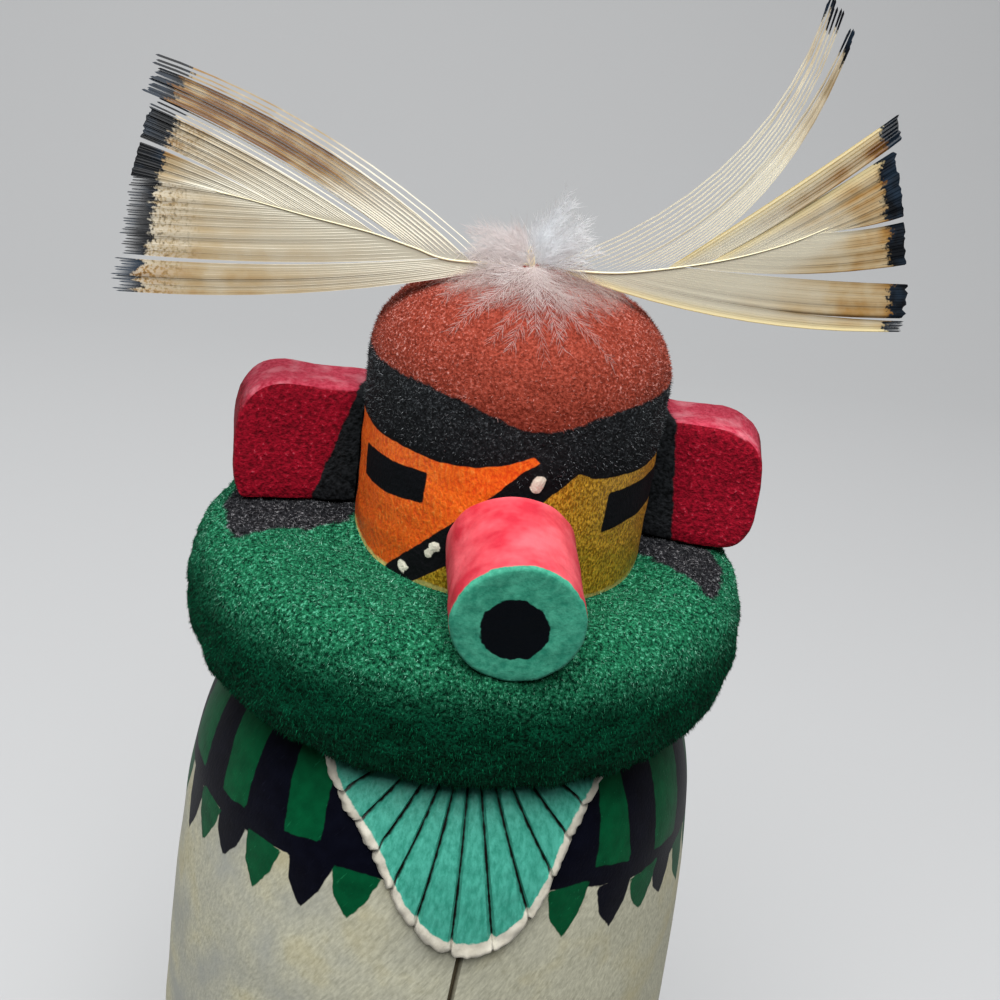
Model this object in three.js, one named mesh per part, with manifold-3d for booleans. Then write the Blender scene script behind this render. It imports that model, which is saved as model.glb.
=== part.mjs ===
// Kachina doll carved from one root: a robed figure with a wide ruff and a helmet head.
// The snout and the ears are glued on, two flat feathers and a down feather stand on the
// crown, and the figure stands on a low round slab.
// Millimetres. +Z is up and the doll faces -Y. The origin is the centre of the slab's
// underside. Left and right are the doll's own, so its right side is towards -X.

import * as THREE from "three";
import { mergeVertices } from "three/addons/utils/BufferGeometryUtils.js";
import Module from "manifold-3d";

const wasm = await Module();
wasm.setup();

// Clearance kept wherever one piece rests on, in or against another
const GAP = 0.3;

// Slab, a little wider than the robe
const SLAB_BORDER = 2.3;
const SLAB_HEIGHT = 8;
const SLAB_EDGE = 1.5;

// Feet and legs
const FOOT_LENGTH = 42;
const FOOT_WIDTH = 20;
const FOOT_HEIGHT = 8.5;
const FOOT_EDGE = 2.5;
const FOOT_FORWARD = 5;
const FOOT_TURN = 8;
const STANCE = 25;
const LEG_RADIUS = 7.5;
const LEG_HEIGHT = 16;

// Robe, an oval turned form; the heights hang down from the ruff's middle
const ROBE_HEIGHT = 147.7;
const NECK_RADIUS = 26.3;
const NECK_TUCK = 2;
const SHOULDER_RADIUS = 34.4;
const SHOULDER_DROP = 25;
const ROBE_RADIUS = 37.7;
const ROBE_WIDEST_DROP = 75;
const HEM_RADIUS = 36.5;
const OVAL = 0.95;
const SLIT_WIDTH = 1;
const SLIT_DEPTH = 1.2;

// The slit down the robe's front lies this far to the doll's left
const FRONT_LINE = 2.2;

// Ruff, a thick ring with a squarish round section
const RUFF_RADIUS = 36;
const RUFF_ROLL = 7.7;
const RUFF_HALF_HEIGHT = 9.7;
const RUFF_ROUNDNESS = 0.77;

// Head, a round post with a domed crown, set a little off the robe's axis
const HEAD_RADIUS = 18.5;
const HEAD_HEIGHT = 43;
const CROWN_HEIGHT = 12.1;
const CROWN_ROUNDNESS = 0.83;
const HEAD_LEFT = 2.8;
const HEAD_FORWARD = 0.5;

// Snout, a stub of dowel; its height is the axis at the face, above the ruff's middle
const SNOUT_LENGTH = 14.7;
const SNOUT_RADIUS = 7.6;
const SNOUT_MUZZLE_RADIUS = 7.3;
const SNOUT_EDGE = 0.6;
const SNOUT_HEIGHT = 15.4;
const SNOUT_TILT = 3;
const SNOUT_BED = 4;

// Ears, rounded tabs that stand on the ruff; reach is how far they stand out from the head's side,
// arch how far their outer half rises above their height at the head, and front how far their front
// lies behind the head's axis
const EAR_THICKNESS = 10;
const EAR_EDGE = 0.5;
const EAR_BACK_ROUND = 2;
const RIGHT_EAR = { height: 15.2, reach: 15.9, arch: 0.9, heel: 1.5, turn: 8, front: 4.6 };
const LEFT_EAR = { height: 16.3, reach: 14.9, arch: 0.3, heel: 4.5, turn: -12, front: 4.2 };

// Pendant, a fan of twelve lobes in low relief that spreads from a point behind the ruff; its
// longest lobes lean to the doll's left, and meet the slit there
const PENDANT_LOBES = 12;
const PENDANT_SPREAD = 124;
const PENDANT_LEFT = 0.6;
const PENDANT_LEAN = 5;
const PENDANT_DROP = 2.5;
const PENDANT_SIDE_RADIUS = 19.5;
const PENDANT_TIP_EXTRA = 10;
const PENDANT_START_RADIUS = 7.5;
const PENDANT_RELIEF = 1.3;
const GROOVE_FLOOR = 0.4;
const GROOVE_WIDTH = 0.8;
const LOBE_ROUND = 1;

// Feathers, trimmed flat vanes on a thin shaft; they lean back about their shafts
const FEATHER_THICKNESS = 1;
const SHAFT_RADIUS = 0.8;
const QUILL_HEIGHT = 1.5;
const QUILL_FORWARD = 2;
const FEATHER_LEAN = 15;

// Each feather is measured outwards and up from the crown's quill point, in shares of its length.
// A barb group leaves the shaft between two shares of the shaft and ends at a cut tip, top corner
// first; bow is how far its edges swell upwards.
const RIGHT_FEATHER = {
  length: 49,
  shaft: [[0.02, 0.004], [0.388, 0], [0.765, 0.12]],
  groups: [
    { from: 0.22, to: 0.3, tip: [[0.931, 0.38], [0.922, 0.359]], bow: 0.037 },
    { from: 0.26, to: 0.42, tip: [[0.916, 0.351], [0.943, 0.3]], bow: 0.031 },
    { from: 0.42, to: 0.66, tip: [[0.927, 0.286], [0.941, 0.194]], bow: 0.016 },
    { from: 0.62, to: 0.5, tip: [[0.945, 0.176], [0.984, -0.082]], bow: 0.006 },
    { from: 0.6, to: 0.24, tip: [[0.988, -0.098], [0.996, -0.163]], bow: -0.024 },
  ],
};
const LEFT_FEATHER = {
  length: 45.5,
  shaft: [[0.022, 0.004], [0.374, 0], [0.754, 0.196]],
  groups: [
    { from: 0.16, to: 0.36, tip: [[0.681, 0.802], [0.76, 0.673]], bow: -0.11 },
    { from: 0.34, to: 0.5, tip: [[0.897, 0.492], [0.905, 0.426]], bow: 0.007 },
    { from: 0.5, to: 0.78, tip: [[0.899, 0.402], [0.949, 0.242]], bow: 0.011 },
    { from: 0.95, to: 0.8, tip: [[0.952, 0.224], [0.976, 0.119]], bow: 0 },
    { from: 0.78, to: 0.24, tip: [[0.991, 0.066], [0.996, -0.053]], bow: -0.033 },
  ],
};

// Down feather, a soft ball of plumes round the quills with a fan lying on the crown's front
const DOWN_WIDTH = 16;
const DOWN_DEPTH = 10;
const DOWN_HEIGHT = 9.5;
const DOWN_SINK = 1;
const DOWN_FORWARD = 3;
const FAN_SPREAD = 112;
const FAN_TURN = 7;
const FAN_RADIUS = 14.2;
const FAN_PLUMES = 6;
const FAN_PLUME_RISE = 2.4;
const FAN_THICKNESS = 2.4;

// Facets
const ROUND_SIDES = 60;
const SMALL_SIDES = 28;
const PROFILE_STEPS = 10;

// Levels worked out from the heights above
const HEM_LEVEL = SLAB_HEIGHT + GAP + LEG_HEIGHT;
const RUFF_LEVEL = HEM_LEVEL + ROBE_HEIGHT;
const RUFF_TOP = RUFF_LEVEL + RUFF_HALF_HEIGHT;
const CROWN_TOP = RUFF_LEVEL + HEAD_HEIGHT;

const radians = THREE.MathUtils.degToRad;

// Turns a closed three.js geometry into a solid that can be joined and cut
function solid(geometry) {
  geometry.deleteAttribute("normal");
  geometry.deleteAttribute("uv");
  const merged = mergeVertices(geometry, 1e-4);
  const corners = merged.index.array;
  const faces = [];
  for (let i = 0; i < corners.length; i += 3) {
    const [a, b, c] = corners.slice(i, i + 3);
    if (a !== b && b !== c && c !== a) faces.push(a, b, c);
  }
  const vertProperties = new Float32Array(merged.attributes.position.array);
  return new wasm.Manifold(new wasm.Mesh({ numProp: 3, vertProperties, triVerts: new Uint32Array(faces) }));
}

// Turns a solid back into a named mesh with its own painted material
function piece(name, shape, color, roughness) {
  const { vertProperties, triVerts } = shape.getMesh();
  const geometry = new THREE.BufferGeometry();
  geometry.setAttribute("position", new THREE.BufferAttribute(vertProperties, 3));
  geometry.setIndex(new THREE.BufferAttribute(triVerts, 1));
  geometry.computeVertexNormals();
  const mesh = new THREE.Mesh(geometry, new THREE.MeshStandardMaterial({ color, roughness, metalness: 0 }));
  mesh.name = name;
  return mesh;
}

// Turned form about +Z from [radius, height] points that run upwards from the axis to the axis
function turned(profile, sides) {
  const points = profile.map(([radius, height]) => new THREE.Vector2(radius, height));
  return new THREE.LatheGeometry(points, sides).rotateX(Math.PI / 2);
}

// Flat outline drawn in X and Z, given depth along Y from back to front
function upright(shape, front, back, curveSegments = 8) {
  const options = { depth: back - front, bevelEnabled: false, curveSegments };
  const geometry = new THREE.ExtrudeGeometry(shape, options);
  return geometry.rotateX(Math.PI / 2).translate(0, back, 0);
}

// Closed body through rings of equal count, capped flat; the rings are convex
function loft(rings) {
  const count = rings[0].length;
  const last = (rings.length - 1) * count;
  const index = [];
  for (let start = 0; start < last; start += count) {
    for (let i = 0; i < count; i++) {
      const next = (i + 1) % count;
      index.push(start + i, start + next, start + count + next);
      index.push(start + i, start + count + next, start + count + i);
    }
  }
  for (let i = 1; i < count - 1; i++) {
    index.push(0, i + 1, i);
    index.push(last, last + i, last + i + 1);
  }
  const geometry = new THREE.BufferGeometry();
  geometry.setAttribute("position", new THREE.Float32BufferAttribute(rings.flat(2), 3));
  geometry.setIndex(index);
  return geometry;
}

// Robe grown outwards by a margin; a negative margin shrinks it
function robe(margin = 0) {
  const outline = new THREE.SplineCurve([
    new THREE.Vector2(HEM_RADIUS, -ROBE_HEIGHT),
    new THREE.Vector2(ROBE_RADIUS, -ROBE_WIDEST_DROP),
    new THREE.Vector2(SHOULDER_RADIUS, -SHOULDER_DROP),
    new THREE.Vector2(NECK_RADIUS, NECK_TUCK - RUFF_HALF_HEIGHT),
  ]).getPoints(PROFILE_STEPS);
  const sides = outline.map(({ x, y }) => [x + margin, y + RUFF_LEVEL]);
  const top = sides.at(-1)[1];
  const geometry = turned([[0, HEM_LEVEL], ...sides, [0, top]], ROUND_SIDES);
  return solid(geometry.scale(1, OVAL, 1));
}

// Ring section: from the flat underside round the outside to the flat top
function ruff() {
  const section = [];
  for (let step = 0; step <= PROFILE_STEPS; step++) {
    const angle = (step / PROFILE_STEPS - 0.5) * Math.PI;
    const across = Math.abs(Math.cos(angle)) ** RUFF_ROUNDNESS;
    const rise = Math.sign(angle) * Math.abs(Math.sin(angle)) ** RUFF_ROUNDNESS;
    section.push([RUFF_RADIUS - RUFF_ROLL * (1 - across), RUFF_LEVEL + RUFF_HALF_HEIGHT * rise]);
  }
  const bottom = RUFF_LEVEL - RUFF_HALF_HEIGHT;
  return solid(turned([[0, bottom], ...section, [0, RUFF_TOP]], ROUND_SIDES).scale(1, OVAL, 1));
}

// Head and crown grown outwards by a margin
function head(margin = 0) {
  const profile = [[0, RUFF_LEVEL], [HEAD_RADIUS + margin, RUFF_LEVEL]];
  const steps = PROFILE_STEPS - 2;
  for (let step = 0; step <= steps; step++) {
    const angle = (step / steps) * Math.PI / 2;
    const across = Math.cos(angle) ** CROWN_ROUNDNESS;
    const rise = Math.sin(angle) ** CROWN_ROUNDNESS;
    const radius = step === steps ? 0 : (HEAD_RADIUS + margin) * across;
    profile.push([radius, CROWN_TOP - CROWN_HEIGHT + (CROWN_HEIGHT + margin) * rise]);
  }
  return solid(turned(profile, ROUND_SIDES).translate(HEAD_LEFT, -HEAD_FORWARD, 0));
}

// One moccasin with its leg, for the doll's right (-1) or left (1)
function foot(side) {
  const round = FOOT_WIDTH / 2;
  const straight = FOOT_LENGTH / 2 - round;
  const sole = new THREE.Shape();
  sole.absarc(0, straight, round, 0, Math.PI, false);
  sole.absarc(0, -straight, round, Math.PI, 2 * Math.PI, false);
  const shoe = new THREE.ExtrudeGeometry(sole, {
    depth: FOOT_HEIGHT - 2 * FOOT_EDGE,
    bevelThickness: FOOT_EDGE,
    bevelSize: FOOT_EDGE,
    bevelOffset: -FOOT_EDGE,
    bevelSegments: 3,
    curveSegments: 8,
  });
  const ankle = SLAB_HEIGHT + GAP;
  shoe.rotateZ(side * radians(FOOT_TURN)).translate(side * STANCE / 2, -FOOT_FORWARD, ankle + FOOT_EDGE);
  const legHeight = LEG_HEIGHT + FOOT_HEIGHT;
  const leg = new THREE.CylinderGeometry(LEG_RADIUS, LEG_RADIUS, legHeight, SMALL_SIDES);
  leg.rotateX(Math.PI / 2).translate(side * STANCE / 2, 0, ankle + FOOT_HEIGHT / 2 + legHeight / 2);
  return solid(shoe).add(solid(leg));
}

// How far the pendant's rim lies from its centre point, at an angle from straight down
function pendantReach(angle) {
  const swell = Math.cos(Math.min(Math.abs(angle - radians(PENDANT_LEAN)) * 1.75, Math.PI / 2));
  return PENDANT_SIDE_RADIUS + PENDANT_TIP_EXTRA * swell ** 3;
}

// Point of the pendant in the robe's front view
function pendantPoint(angle, radius) {
  return new THREE.Vector2(radius * Math.sin(angle), RUFF_LEVEL - PENDANT_DROP - radius * Math.cos(angle));
}

// Outline of the pendant in the front view, made a prism that passes through the robe's front
function pendantPrism(points) {
  const prism = upright(new THREE.Shape(points), -2 * ROBE_RADIUS, 0);
  return solid(prism.translate(PENDANT_LEFT, 0, 0));
}

// Whole pendant's outline, with its rim at the grooves' feet
function pendantOutline(step) {
  const points = [];
  for (let edge = -PENDANT_LOBES / 2; edge <= PENDANT_LOBES / 2; edge++) {
    points.push(pendantPoint(edge * step, pendantReach(edge * step)));
  }
  const [first, last] = [points[0], points.at(-1)];
  points.push(pendantPoint(radians(PENDANT_SPREAD / 2), PENDANT_START_RADIUS));
  points.push(pendantPoint(-radians(PENDANT_SPREAD / 2), PENDANT_START_RADIUS));
  return first.x < last.x ? points : points.reverse();
}

// One lobe between two angles, drawn in by half a groove on each side, with a rounded end
function lobeOutline(first, second) {
  const middle = (first + second) / 2;
  const drawn = (radius) => GROOVE_WIDTH / 2 / radius;
  const near = PENDANT_START_RADIUS + LOBE_ROUND;
  const firstReach = pendantReach(first) - LOBE_ROUND;
  const secondReach = pendantReach(second) - LOBE_ROUND;
  const endReach = pendantReach(middle) + LOBE_ROUND;
  const quarter = (second - first) / 4;
  return [
    pendantPoint(first + drawn(near), near),
    pendantPoint(first + drawn(firstReach), firstReach),
    pendantPoint(middle - quarter, endReach - LOBE_ROUND / 2),
    pendantPoint(middle, endReach),
    pendantPoint(middle + quarter, endReach - LOBE_ROUND / 2),
    pendantPoint(second - drawn(secondReach), secondReach),
    pendantPoint(second - drawn(near), near),
  ];
}

// The pendant's lobes stand proud of the robe, with shallow grooves between them
function pendant() {
  const step = radians(PENDANT_SPREAD) / PENDANT_LOBES;
  const plate = robe(GROOVE_FLOOR).intersect(pendantPrism(pendantOutline(step)));
  const relief = robe(PENDANT_RELIEF);
  const lobes = [];
  for (let lobe = 0; lobe < PENDANT_LOBES; lobe++) {
    const first = (lobe - PENDANT_LOBES / 2) * step;
    lobes.push(relief.intersect(pendantPrism(lobeOutline(first, first + step))));
  }
  return wasm.Manifold.union([plate, ...lobes]);
}

// Groove where the robe's two edges meet, from the pendant down to the hem
function slit() {
  const top = RUFF_LEVEL - PENDANT_DROP - pendantReach(radians(PENDANT_LEAN));
  const cut = new THREE.BoxGeometry(SLIT_WIDTH, 2 * ROBE_RADIUS, top);
  cut.translate(FRONT_LINE, -ROBE_RADIUS, top / 2);
  return solid(cut).subtract(robe(-SLIT_DEPTH));
}

// Snout with its root inside the head, grown by a margin
function snoutDowel(margin = 0) {
  const length = SNOUT_LENGTH + SNOUT_BED;
  const dowel = turned([
    [0, 0],
    [SNOUT_RADIUS + margin, 0],
    [SNOUT_MUZZLE_RADIUS + margin, length - SNOUT_EDGE],
    [SNOUT_MUZZLE_RADIUS + margin - SNOUT_EDGE, length + margin],
    [0, length + margin],
  ], SMALL_SIDES);
  dowel.rotateX(radians(90 + SNOUT_TILT));
  return solid(dowel.translate(HEAD_LEFT, SNOUT_BED - HEAD_RADIUS - HEAD_FORWARD, RUFF_LEVEL + SNOUT_HEIGHT));
}

// Outline of an ear seen from the front, outwards from the head's axis and up from its foot
function earOutline({ height, reach, arch, heel }) {
  const inner = HEAD_RADIUS * 0.8;
  const outer = HEAD_RADIUS + reach;
  const shape = new THREE.Shape();
  shape.moveTo(inner, 0);
  shape.lineTo(outer - heel, 0);
  shape.quadraticCurveTo(outer, 0, outer, height * 0.35);
  shape.lineTo(outer, height * 0.5);
  shape.quadraticCurveTo(outer, height + arch, outer - height * 0.4, height + arch);
  shape.lineTo(inner, height);
  return shape.getPoints(6);
}

// Ear for the doll's right (-1) or left (1): crisp in front, rounded behind
function ear(side, form) {
  const outline = earOutline(form);
  const middle = new THREE.Vector2(HEAD_RADIUS + form.reach / 2, form.height / 2);
  const layers = [
    [0, EAR_EDGE],
    [EAR_EDGE, 0],
    [EAR_THICKNESS - EAR_BACK_ROUND, 0],
    [EAR_THICKNESS - EAR_BACK_ROUND * 0.3, EAR_BACK_ROUND * 0.3],
    [EAR_THICKNESS, EAR_BACK_ROUND],
  ];
  const rings = layers.map(([depth, inset]) => {
    const share = 1 - inset / middle.y;
    return outline.map((point) => {
      const across = middle.x + (point.x - middle.x) * share;
      const up = middle.y + (point.y - middle.y) * share;
      return [across * side, depth, up];
    });
  });
  if (side > 0) rings.reverse();
  const geometry = loft(rings).rotateZ(radians(form.turn));
  geometry.translate(HEAD_LEFT, form.front - HEAD_FORWARD, RUFF_TOP + GAP);
  return solid(geometry).subtract(head(GAP));
}

// One barb group as a flat blade in the feather's own plane
function barbGroup(group, shaftAt, place, thickness) {
  const [topTip, lowTip] = group.tip.map(place);
  const [topRoot, lowRoot] = [shaftAt(group.from), shaftAt(group.to)];
  const swell = place([0, 2 * group.bow]);
  const control = (a, b) => a.clone().lerp(b, 0.5).add(swell);
  const topEdge = control(topRoot, topTip);
  const lowEdge = control(lowRoot, lowTip);
  const shape = new THREE.Shape();
  shape.moveTo(topRoot.x, topRoot.y).quadraticCurveTo(topEdge.x, topEdge.y, topTip.x, topTip.y);
  shape.lineTo(lowTip.x, lowTip.y).quadraticCurveTo(lowEdge.x, lowEdge.y, lowRoot.x, lowRoot.y);
  return solid(upright(shape, -thickness / 2, thickness / 2, 6));
}

// Feather for the doll's right (-1) or left (1), grown by a margin
function feather(side, form, margin = 0) {
  const place = ([out, up]) => new THREE.Vector2(out * side, up).multiplyScalar(form.length);
  const [start, bend, end] = form.shaft.map(place).map(({ x, y }) => new THREE.Vector3(x, 0, y));
  const line = new THREE.QuadraticBezierCurve3(start, bend, end);
  const radius = SHAFT_RADIUS + margin;
  const section = new THREE.Shape().absarc(0, 0, radius, 0, 2 * Math.PI, false);
  const options = { extrudePath: line, steps: PROFILE_STEPS, curveSegments: 4 };
  const shaftAt = (share) => {
    const point = line.getPoint(share);
    return new THREE.Vector2(point.x, point.z);
  };
  const parts = [solid(new THREE.ExtrudeGeometry(section, options))];
  for (const group of form.groups) {
    parts.push(barbGroup(group, shaftAt, place, FEATHER_THICKNESS + 2 * margin));
  }
  return wasm.Manifold.union(parts)
    .rotate([-FEATHER_LEAN, 0, 0])
    .translate([HEAD_LEFT, -HEAD_FORWARD - QUILL_FORWARD, CROWN_TOP + QUILL_HEIGHT])
    .subtract(head(GAP));
}

// Plan of the plumes that lie on the crown's front, scalloped at their ends
function fanPlan() {
  const shape = new THREE.Shape();
  shape.moveTo(0, 0);
  const steps = FAN_PLUMES * 3;
  for (let step = 0; step <= steps; step++) {
    const angle = radians(FAN_SPREAD * (step / steps - 0.5) - FAN_TURN);
    const radius = FAN_RADIUS + FAN_PLUME_RISE * Math.abs(Math.sin(FAN_PLUMES * Math.PI * step / steps));
    shape.lineTo(radius * Math.sin(angle), -radius * Math.cos(angle));
  }
  return shape;
}

// Down feather: the ball, and the fan as a shell of the crown, cleared of the quills
function down() {
  const ball = new THREE.SphereGeometry(0.5, 16, 10).scale(DOWN_WIDTH, DOWN_DEPTH, DOWN_HEIGHT);
  ball.translate(HEAD_LEFT, -HEAD_FORWARD - DOWN_FORWARD, CROWN_TOP + DOWN_HEIGHT / 2 - DOWN_SINK);
  const column = new THREE.ExtrudeGeometry(fanPlan(), { depth: HEAD_HEIGHT, bevelEnabled: false });
  column.translate(HEAD_LEFT, -HEAD_FORWARD, RUFF_TOP);
  return solid(ball)
    .add(solid(column).intersect(head(FAN_THICKNESS)))
    .subtract(head(GAP))
    .subtract(feather(-1, RIGHT_FEATHER, GAP))
    .subtract(feather(1, LEFT_FEATHER, GAP));
}

// Figure: everything carved from the one root, with the bed for the snout cut into the ruff
function figure() {
  const carving = [robe(), ruff(), head(), pendant(), foot(-1), foot(1)];
  return wasm.Manifold.union(carving)
    .subtract(slit())
    .subtract(snoutDowel(GAP).subtract(head()));
}

function slab() {
  const radius = ROBE_RADIUS + SLAB_BORDER;
  return solid(turned([
    [0, 0],
    [radius, 0],
    [radius, SLAB_HEIGHT - SLAB_EDGE],
    [radius - SLAB_EDGE, SLAB_HEIGHT],
    [0, SLAB_HEIGHT],
  ], ROUND_SIDES));
}

const doll = new THREE.Group();
doll.add(piece("slab", slab(), 0xb98f5e, 0.7));
doll.add(piece("carved_figure", figure(), 0xcfcdbb, 0.75));
doll.add(piece("snout", snoutDowel().subtract(head(GAP)), 0xe8455a, 0.6));
doll.add(piece("ear_right", ear(-1, RIGHT_EAR), 0x9e0b22, 0.6));
doll.add(piece("ear_left", ear(1, LEFT_EAR), 0x9e0b22, 0.6));
doll.add(piece("feather_right", feather(-1, RIGHT_FEATHER), 0xb08a50, 0.6));
doll.add(piece("feather_left", feather(1, LEFT_FEATHER), 0xe6dcc2, 0.6));
doll.add(piece("down_feather", down(), 0xf4f4f6, 0.9));

export default doll;
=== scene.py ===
import math

import bpy
import numpy as np
from mathutils import Matrix, Vector, noise


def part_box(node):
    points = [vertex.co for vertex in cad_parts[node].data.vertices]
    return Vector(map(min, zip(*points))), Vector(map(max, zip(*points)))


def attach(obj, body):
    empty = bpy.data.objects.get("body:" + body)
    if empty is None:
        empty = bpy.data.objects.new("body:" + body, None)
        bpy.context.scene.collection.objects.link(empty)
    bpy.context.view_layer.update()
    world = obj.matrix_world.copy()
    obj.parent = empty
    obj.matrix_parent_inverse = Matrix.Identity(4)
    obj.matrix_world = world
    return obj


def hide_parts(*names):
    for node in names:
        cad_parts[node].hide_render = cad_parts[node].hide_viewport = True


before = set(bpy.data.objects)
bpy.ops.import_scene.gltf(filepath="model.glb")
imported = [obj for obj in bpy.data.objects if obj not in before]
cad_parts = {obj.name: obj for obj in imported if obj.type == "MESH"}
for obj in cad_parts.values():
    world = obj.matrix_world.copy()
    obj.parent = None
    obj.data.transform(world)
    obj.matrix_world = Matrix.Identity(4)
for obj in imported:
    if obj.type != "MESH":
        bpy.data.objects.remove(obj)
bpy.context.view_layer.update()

# Slab: a low round of bare cottonwood, sawn across the root so that its rings show on top, with a
# small chamfer sanded round the edge. The doll is glued to it.
MM = 0.001
SLAB_CHAMFER = 1.5

slab_low, slab_high = (np.array(corner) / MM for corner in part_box("slab"))
slab_radius = (slab_high[0] - slab_low[0]) / 2


def alone(piece):
    """Selects one piece and nothing else."""
    bpy.ops.object.select_all(action="DESELECT")
    piece.select_set(True)
    bpy.context.view_layer.objects.active = piece


def edit(piece, *steps):
    """Runs edit-mode steps on one piece, with all of it selected first."""
    alone(piece)
    bpy.ops.object.mode_set(mode="EDIT")
    bpy.ops.mesh.select_all(action="SELECT")
    for step in steps:
        step()
    bpy.ops.object.mode_set(mode="OBJECT")


def close_up():
    """Merges what meets, closes flat ends and points every face outwards."""
    bpy.ops.mesh.remove_doubles(threshold=0.002 * MM)
    bpy.ops.mesh.select_all(action="DESELECT")
    bpy.ops.mesh.select_mode(type="VERT")
    bpy.ops.mesh.select_non_manifold(extend=False)
    bpy.ops.mesh.edge_face_add()
    bpy.ops.mesh.select_all(action="SELECT")
    bpy.ops.mesh.normals_make_consistent(inside=False)


def settle(piece, corners):
    """Puts every corner of a piece's mesh at its place, in millimetres."""
    piece.data.vertices.foreach_set("co", (corners * MM).ravel())


def wrap(name, rows):
    """A grid laid on rows of points in millimetres, each row once round, and then closed."""
    rows = np.asarray(rows, float)
    bpy.ops.mesh.primitive_grid_add(x_subdivisions=rows.shape[1] - 1, y_subdivisions=rows.shape[0] - 1)
    piece = bpy.context.object
    piece.name = piece.data.name = name
    settle(piece, rows)
    edit(piece, close_up)
    return piece


def gathered(items, field, width=1, kind=float):
    """One field of every corner, face or triangle of a mesh."""
    values = np.empty(width * len(items), kind)
    items.foreach_get(field, values)
    return values.reshape(-1, width) if width > 1 else values


def places(piece):
    """Every corner of a piece's mesh, in millimetres."""
    return gathered(piece.data.vertices, "co", 3) / MM


def normals(piece):
    """The way each corner of a piece's mesh faces."""
    return gathered(piece.data.vertex_normals, "vector", 3)


def smooth(piece, degrees):
    """Smooth shading, broken where two faces meet at more than an angle."""
    alone(piece)
    bpy.ops.object.shade_smooth_by_angle(angle=math.radians(degrees))


def linear(code):
    """A colour written as an sRGB hex value, as Blender's linear colour."""
    shares = [int(code[i:i + 2], 16) / 255 for i in (1, 3, 5)]
    return (*[s / 12.92 if s <= 0.04045 else ((s + 0.055) / 1.055) ** 2.4 for s in shares], 1)


def per(size):
    """A texture's scale for a feature of that many millimetres."""
    return 1 / (size * MM)


def new_material(name):
    """An empty node material with its output; returns the material and its tree."""
    made = bpy.data.materials.new(name)
    made.use_nodes = True
    made.node_tree.nodes.clear()
    return made, made.node_tree


def add(tree, kind, links=None, out=0, **settings):
    """Adds a shader node, sets it, feeds its inputs with values, hex colours or other nodes' outputs,
    and returns one of its own outputs."""
    made = tree.nodes.new("ShaderNode" + kind)
    for name, value in settings.items():
        setattr(made, name, value)
    for key, value in (links or {}).items():
        if isinstance(value, bpy.types.NodeSocket):
            tree.links.new(value, made.inputs[key])
        else:
            made.inputs[key].default_value = linear(value) if isinstance(value, str) else value
    return made.outputs[out] if made.outputs else made


def coats(tree, colour, *laid):
    """A ground colour with coats laid over it in turn, each where its own mask is one."""
    for where, coat in laid:
        colour = add(tree, "Mix", {0: where, 6: colour, 7: coat}, 2, data_type="RGBA")
    return colour


def surface(tree, colour, looks, relief=None, depth=0.0, strength=0.0):
    """Sends a colour with its looks and its relief, in millimetres, to the material's output."""
    looks = {"Base Color": colour, **looks}
    if relief is not None:
        looks["Normal"] = add(tree, "Bump", {"Height": relief, "Distance": depth * MM, "Strength": strength})
    add(tree, "OutputMaterial", {"Surface": add(tree, "BsdfPrincipled", looks)})


# Bare cottonwood, sawn and sanded: pale, dull, with rings and fine pores
bare_wood, tree = new_material("bare cottonwood, sanded")
spot = add(tree, "TexCoord", out="Object")
wander = add(tree, "TexNoise", {"Vector": spot, "Scale": per(30), "Detail": 3.0}, "Color")
shifted = add(tree, "Mapping", {"Vector": spot, "Location": (4 * MM, -6 * MM, 0)})
swirl = add(tree, "VectorMath", {0: wander, "Scale": 6 * MM}, operation="SCALE")
bent = add(tree, "VectorMath", {0: shifted, 1: swirl}, operation="ADD")
rings = add(tree, "TexWave", {"Vector": bent, "Scale": per(16), "Distortion": 0.4}, "Fac",
            wave_type="RINGS", rings_direction="Z")
pores = add(tree, "TexNoise", {"Vector": spot, "Scale": per(0.6), "Detail": 2.0})
grain = coats(tree, "#C79E6C", (rings, "#A97B4A"), (pores, "#D8B98C"))
surface(tree, grain, {"Roughness": 0.7}, pores, 0.1, 0.4)

bpy.ops.object.select_all(action="DESELECT")
bpy.ops.mesh.primitive_cylinder_add(vertices=160, radius=slab_radius * MM, depth=slab_high[2] * MM,
                                    location=(0, 0, slab_high[2] / 2 * MM))
slab = bpy.context.object
slab.name = "wood_slab"
bpy.ops.object.transform_apply(location=True, rotation=True, scale=True)


def chamfer_slab():
    """Selects the top edge alone and bevels it."""
    bpy.ops.mesh.select_mode(type="EDGE")
    bpy.ops.mesh.select_all(action="DESELECT")
    bpy.ops.object.mode_set(mode="OBJECT")
    corners = slab.data.vertices
    for edge in slab.data.edges:
        edge.select = all(corners[i].co.z > (slab_high[2] - 0.01) * MM for i in edge.vertices)
    bpy.ops.object.mode_set(mode="EDIT")
    bpy.ops.mesh.bevel(offset=SLAB_CHAMFER * MM, segments=4, profile=0.6)


edit(slab, chamfer_slab)
smooth(slab, 30)
slab.data.materials.append(bare_wood)
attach(slab, "root")
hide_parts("slab")

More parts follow.
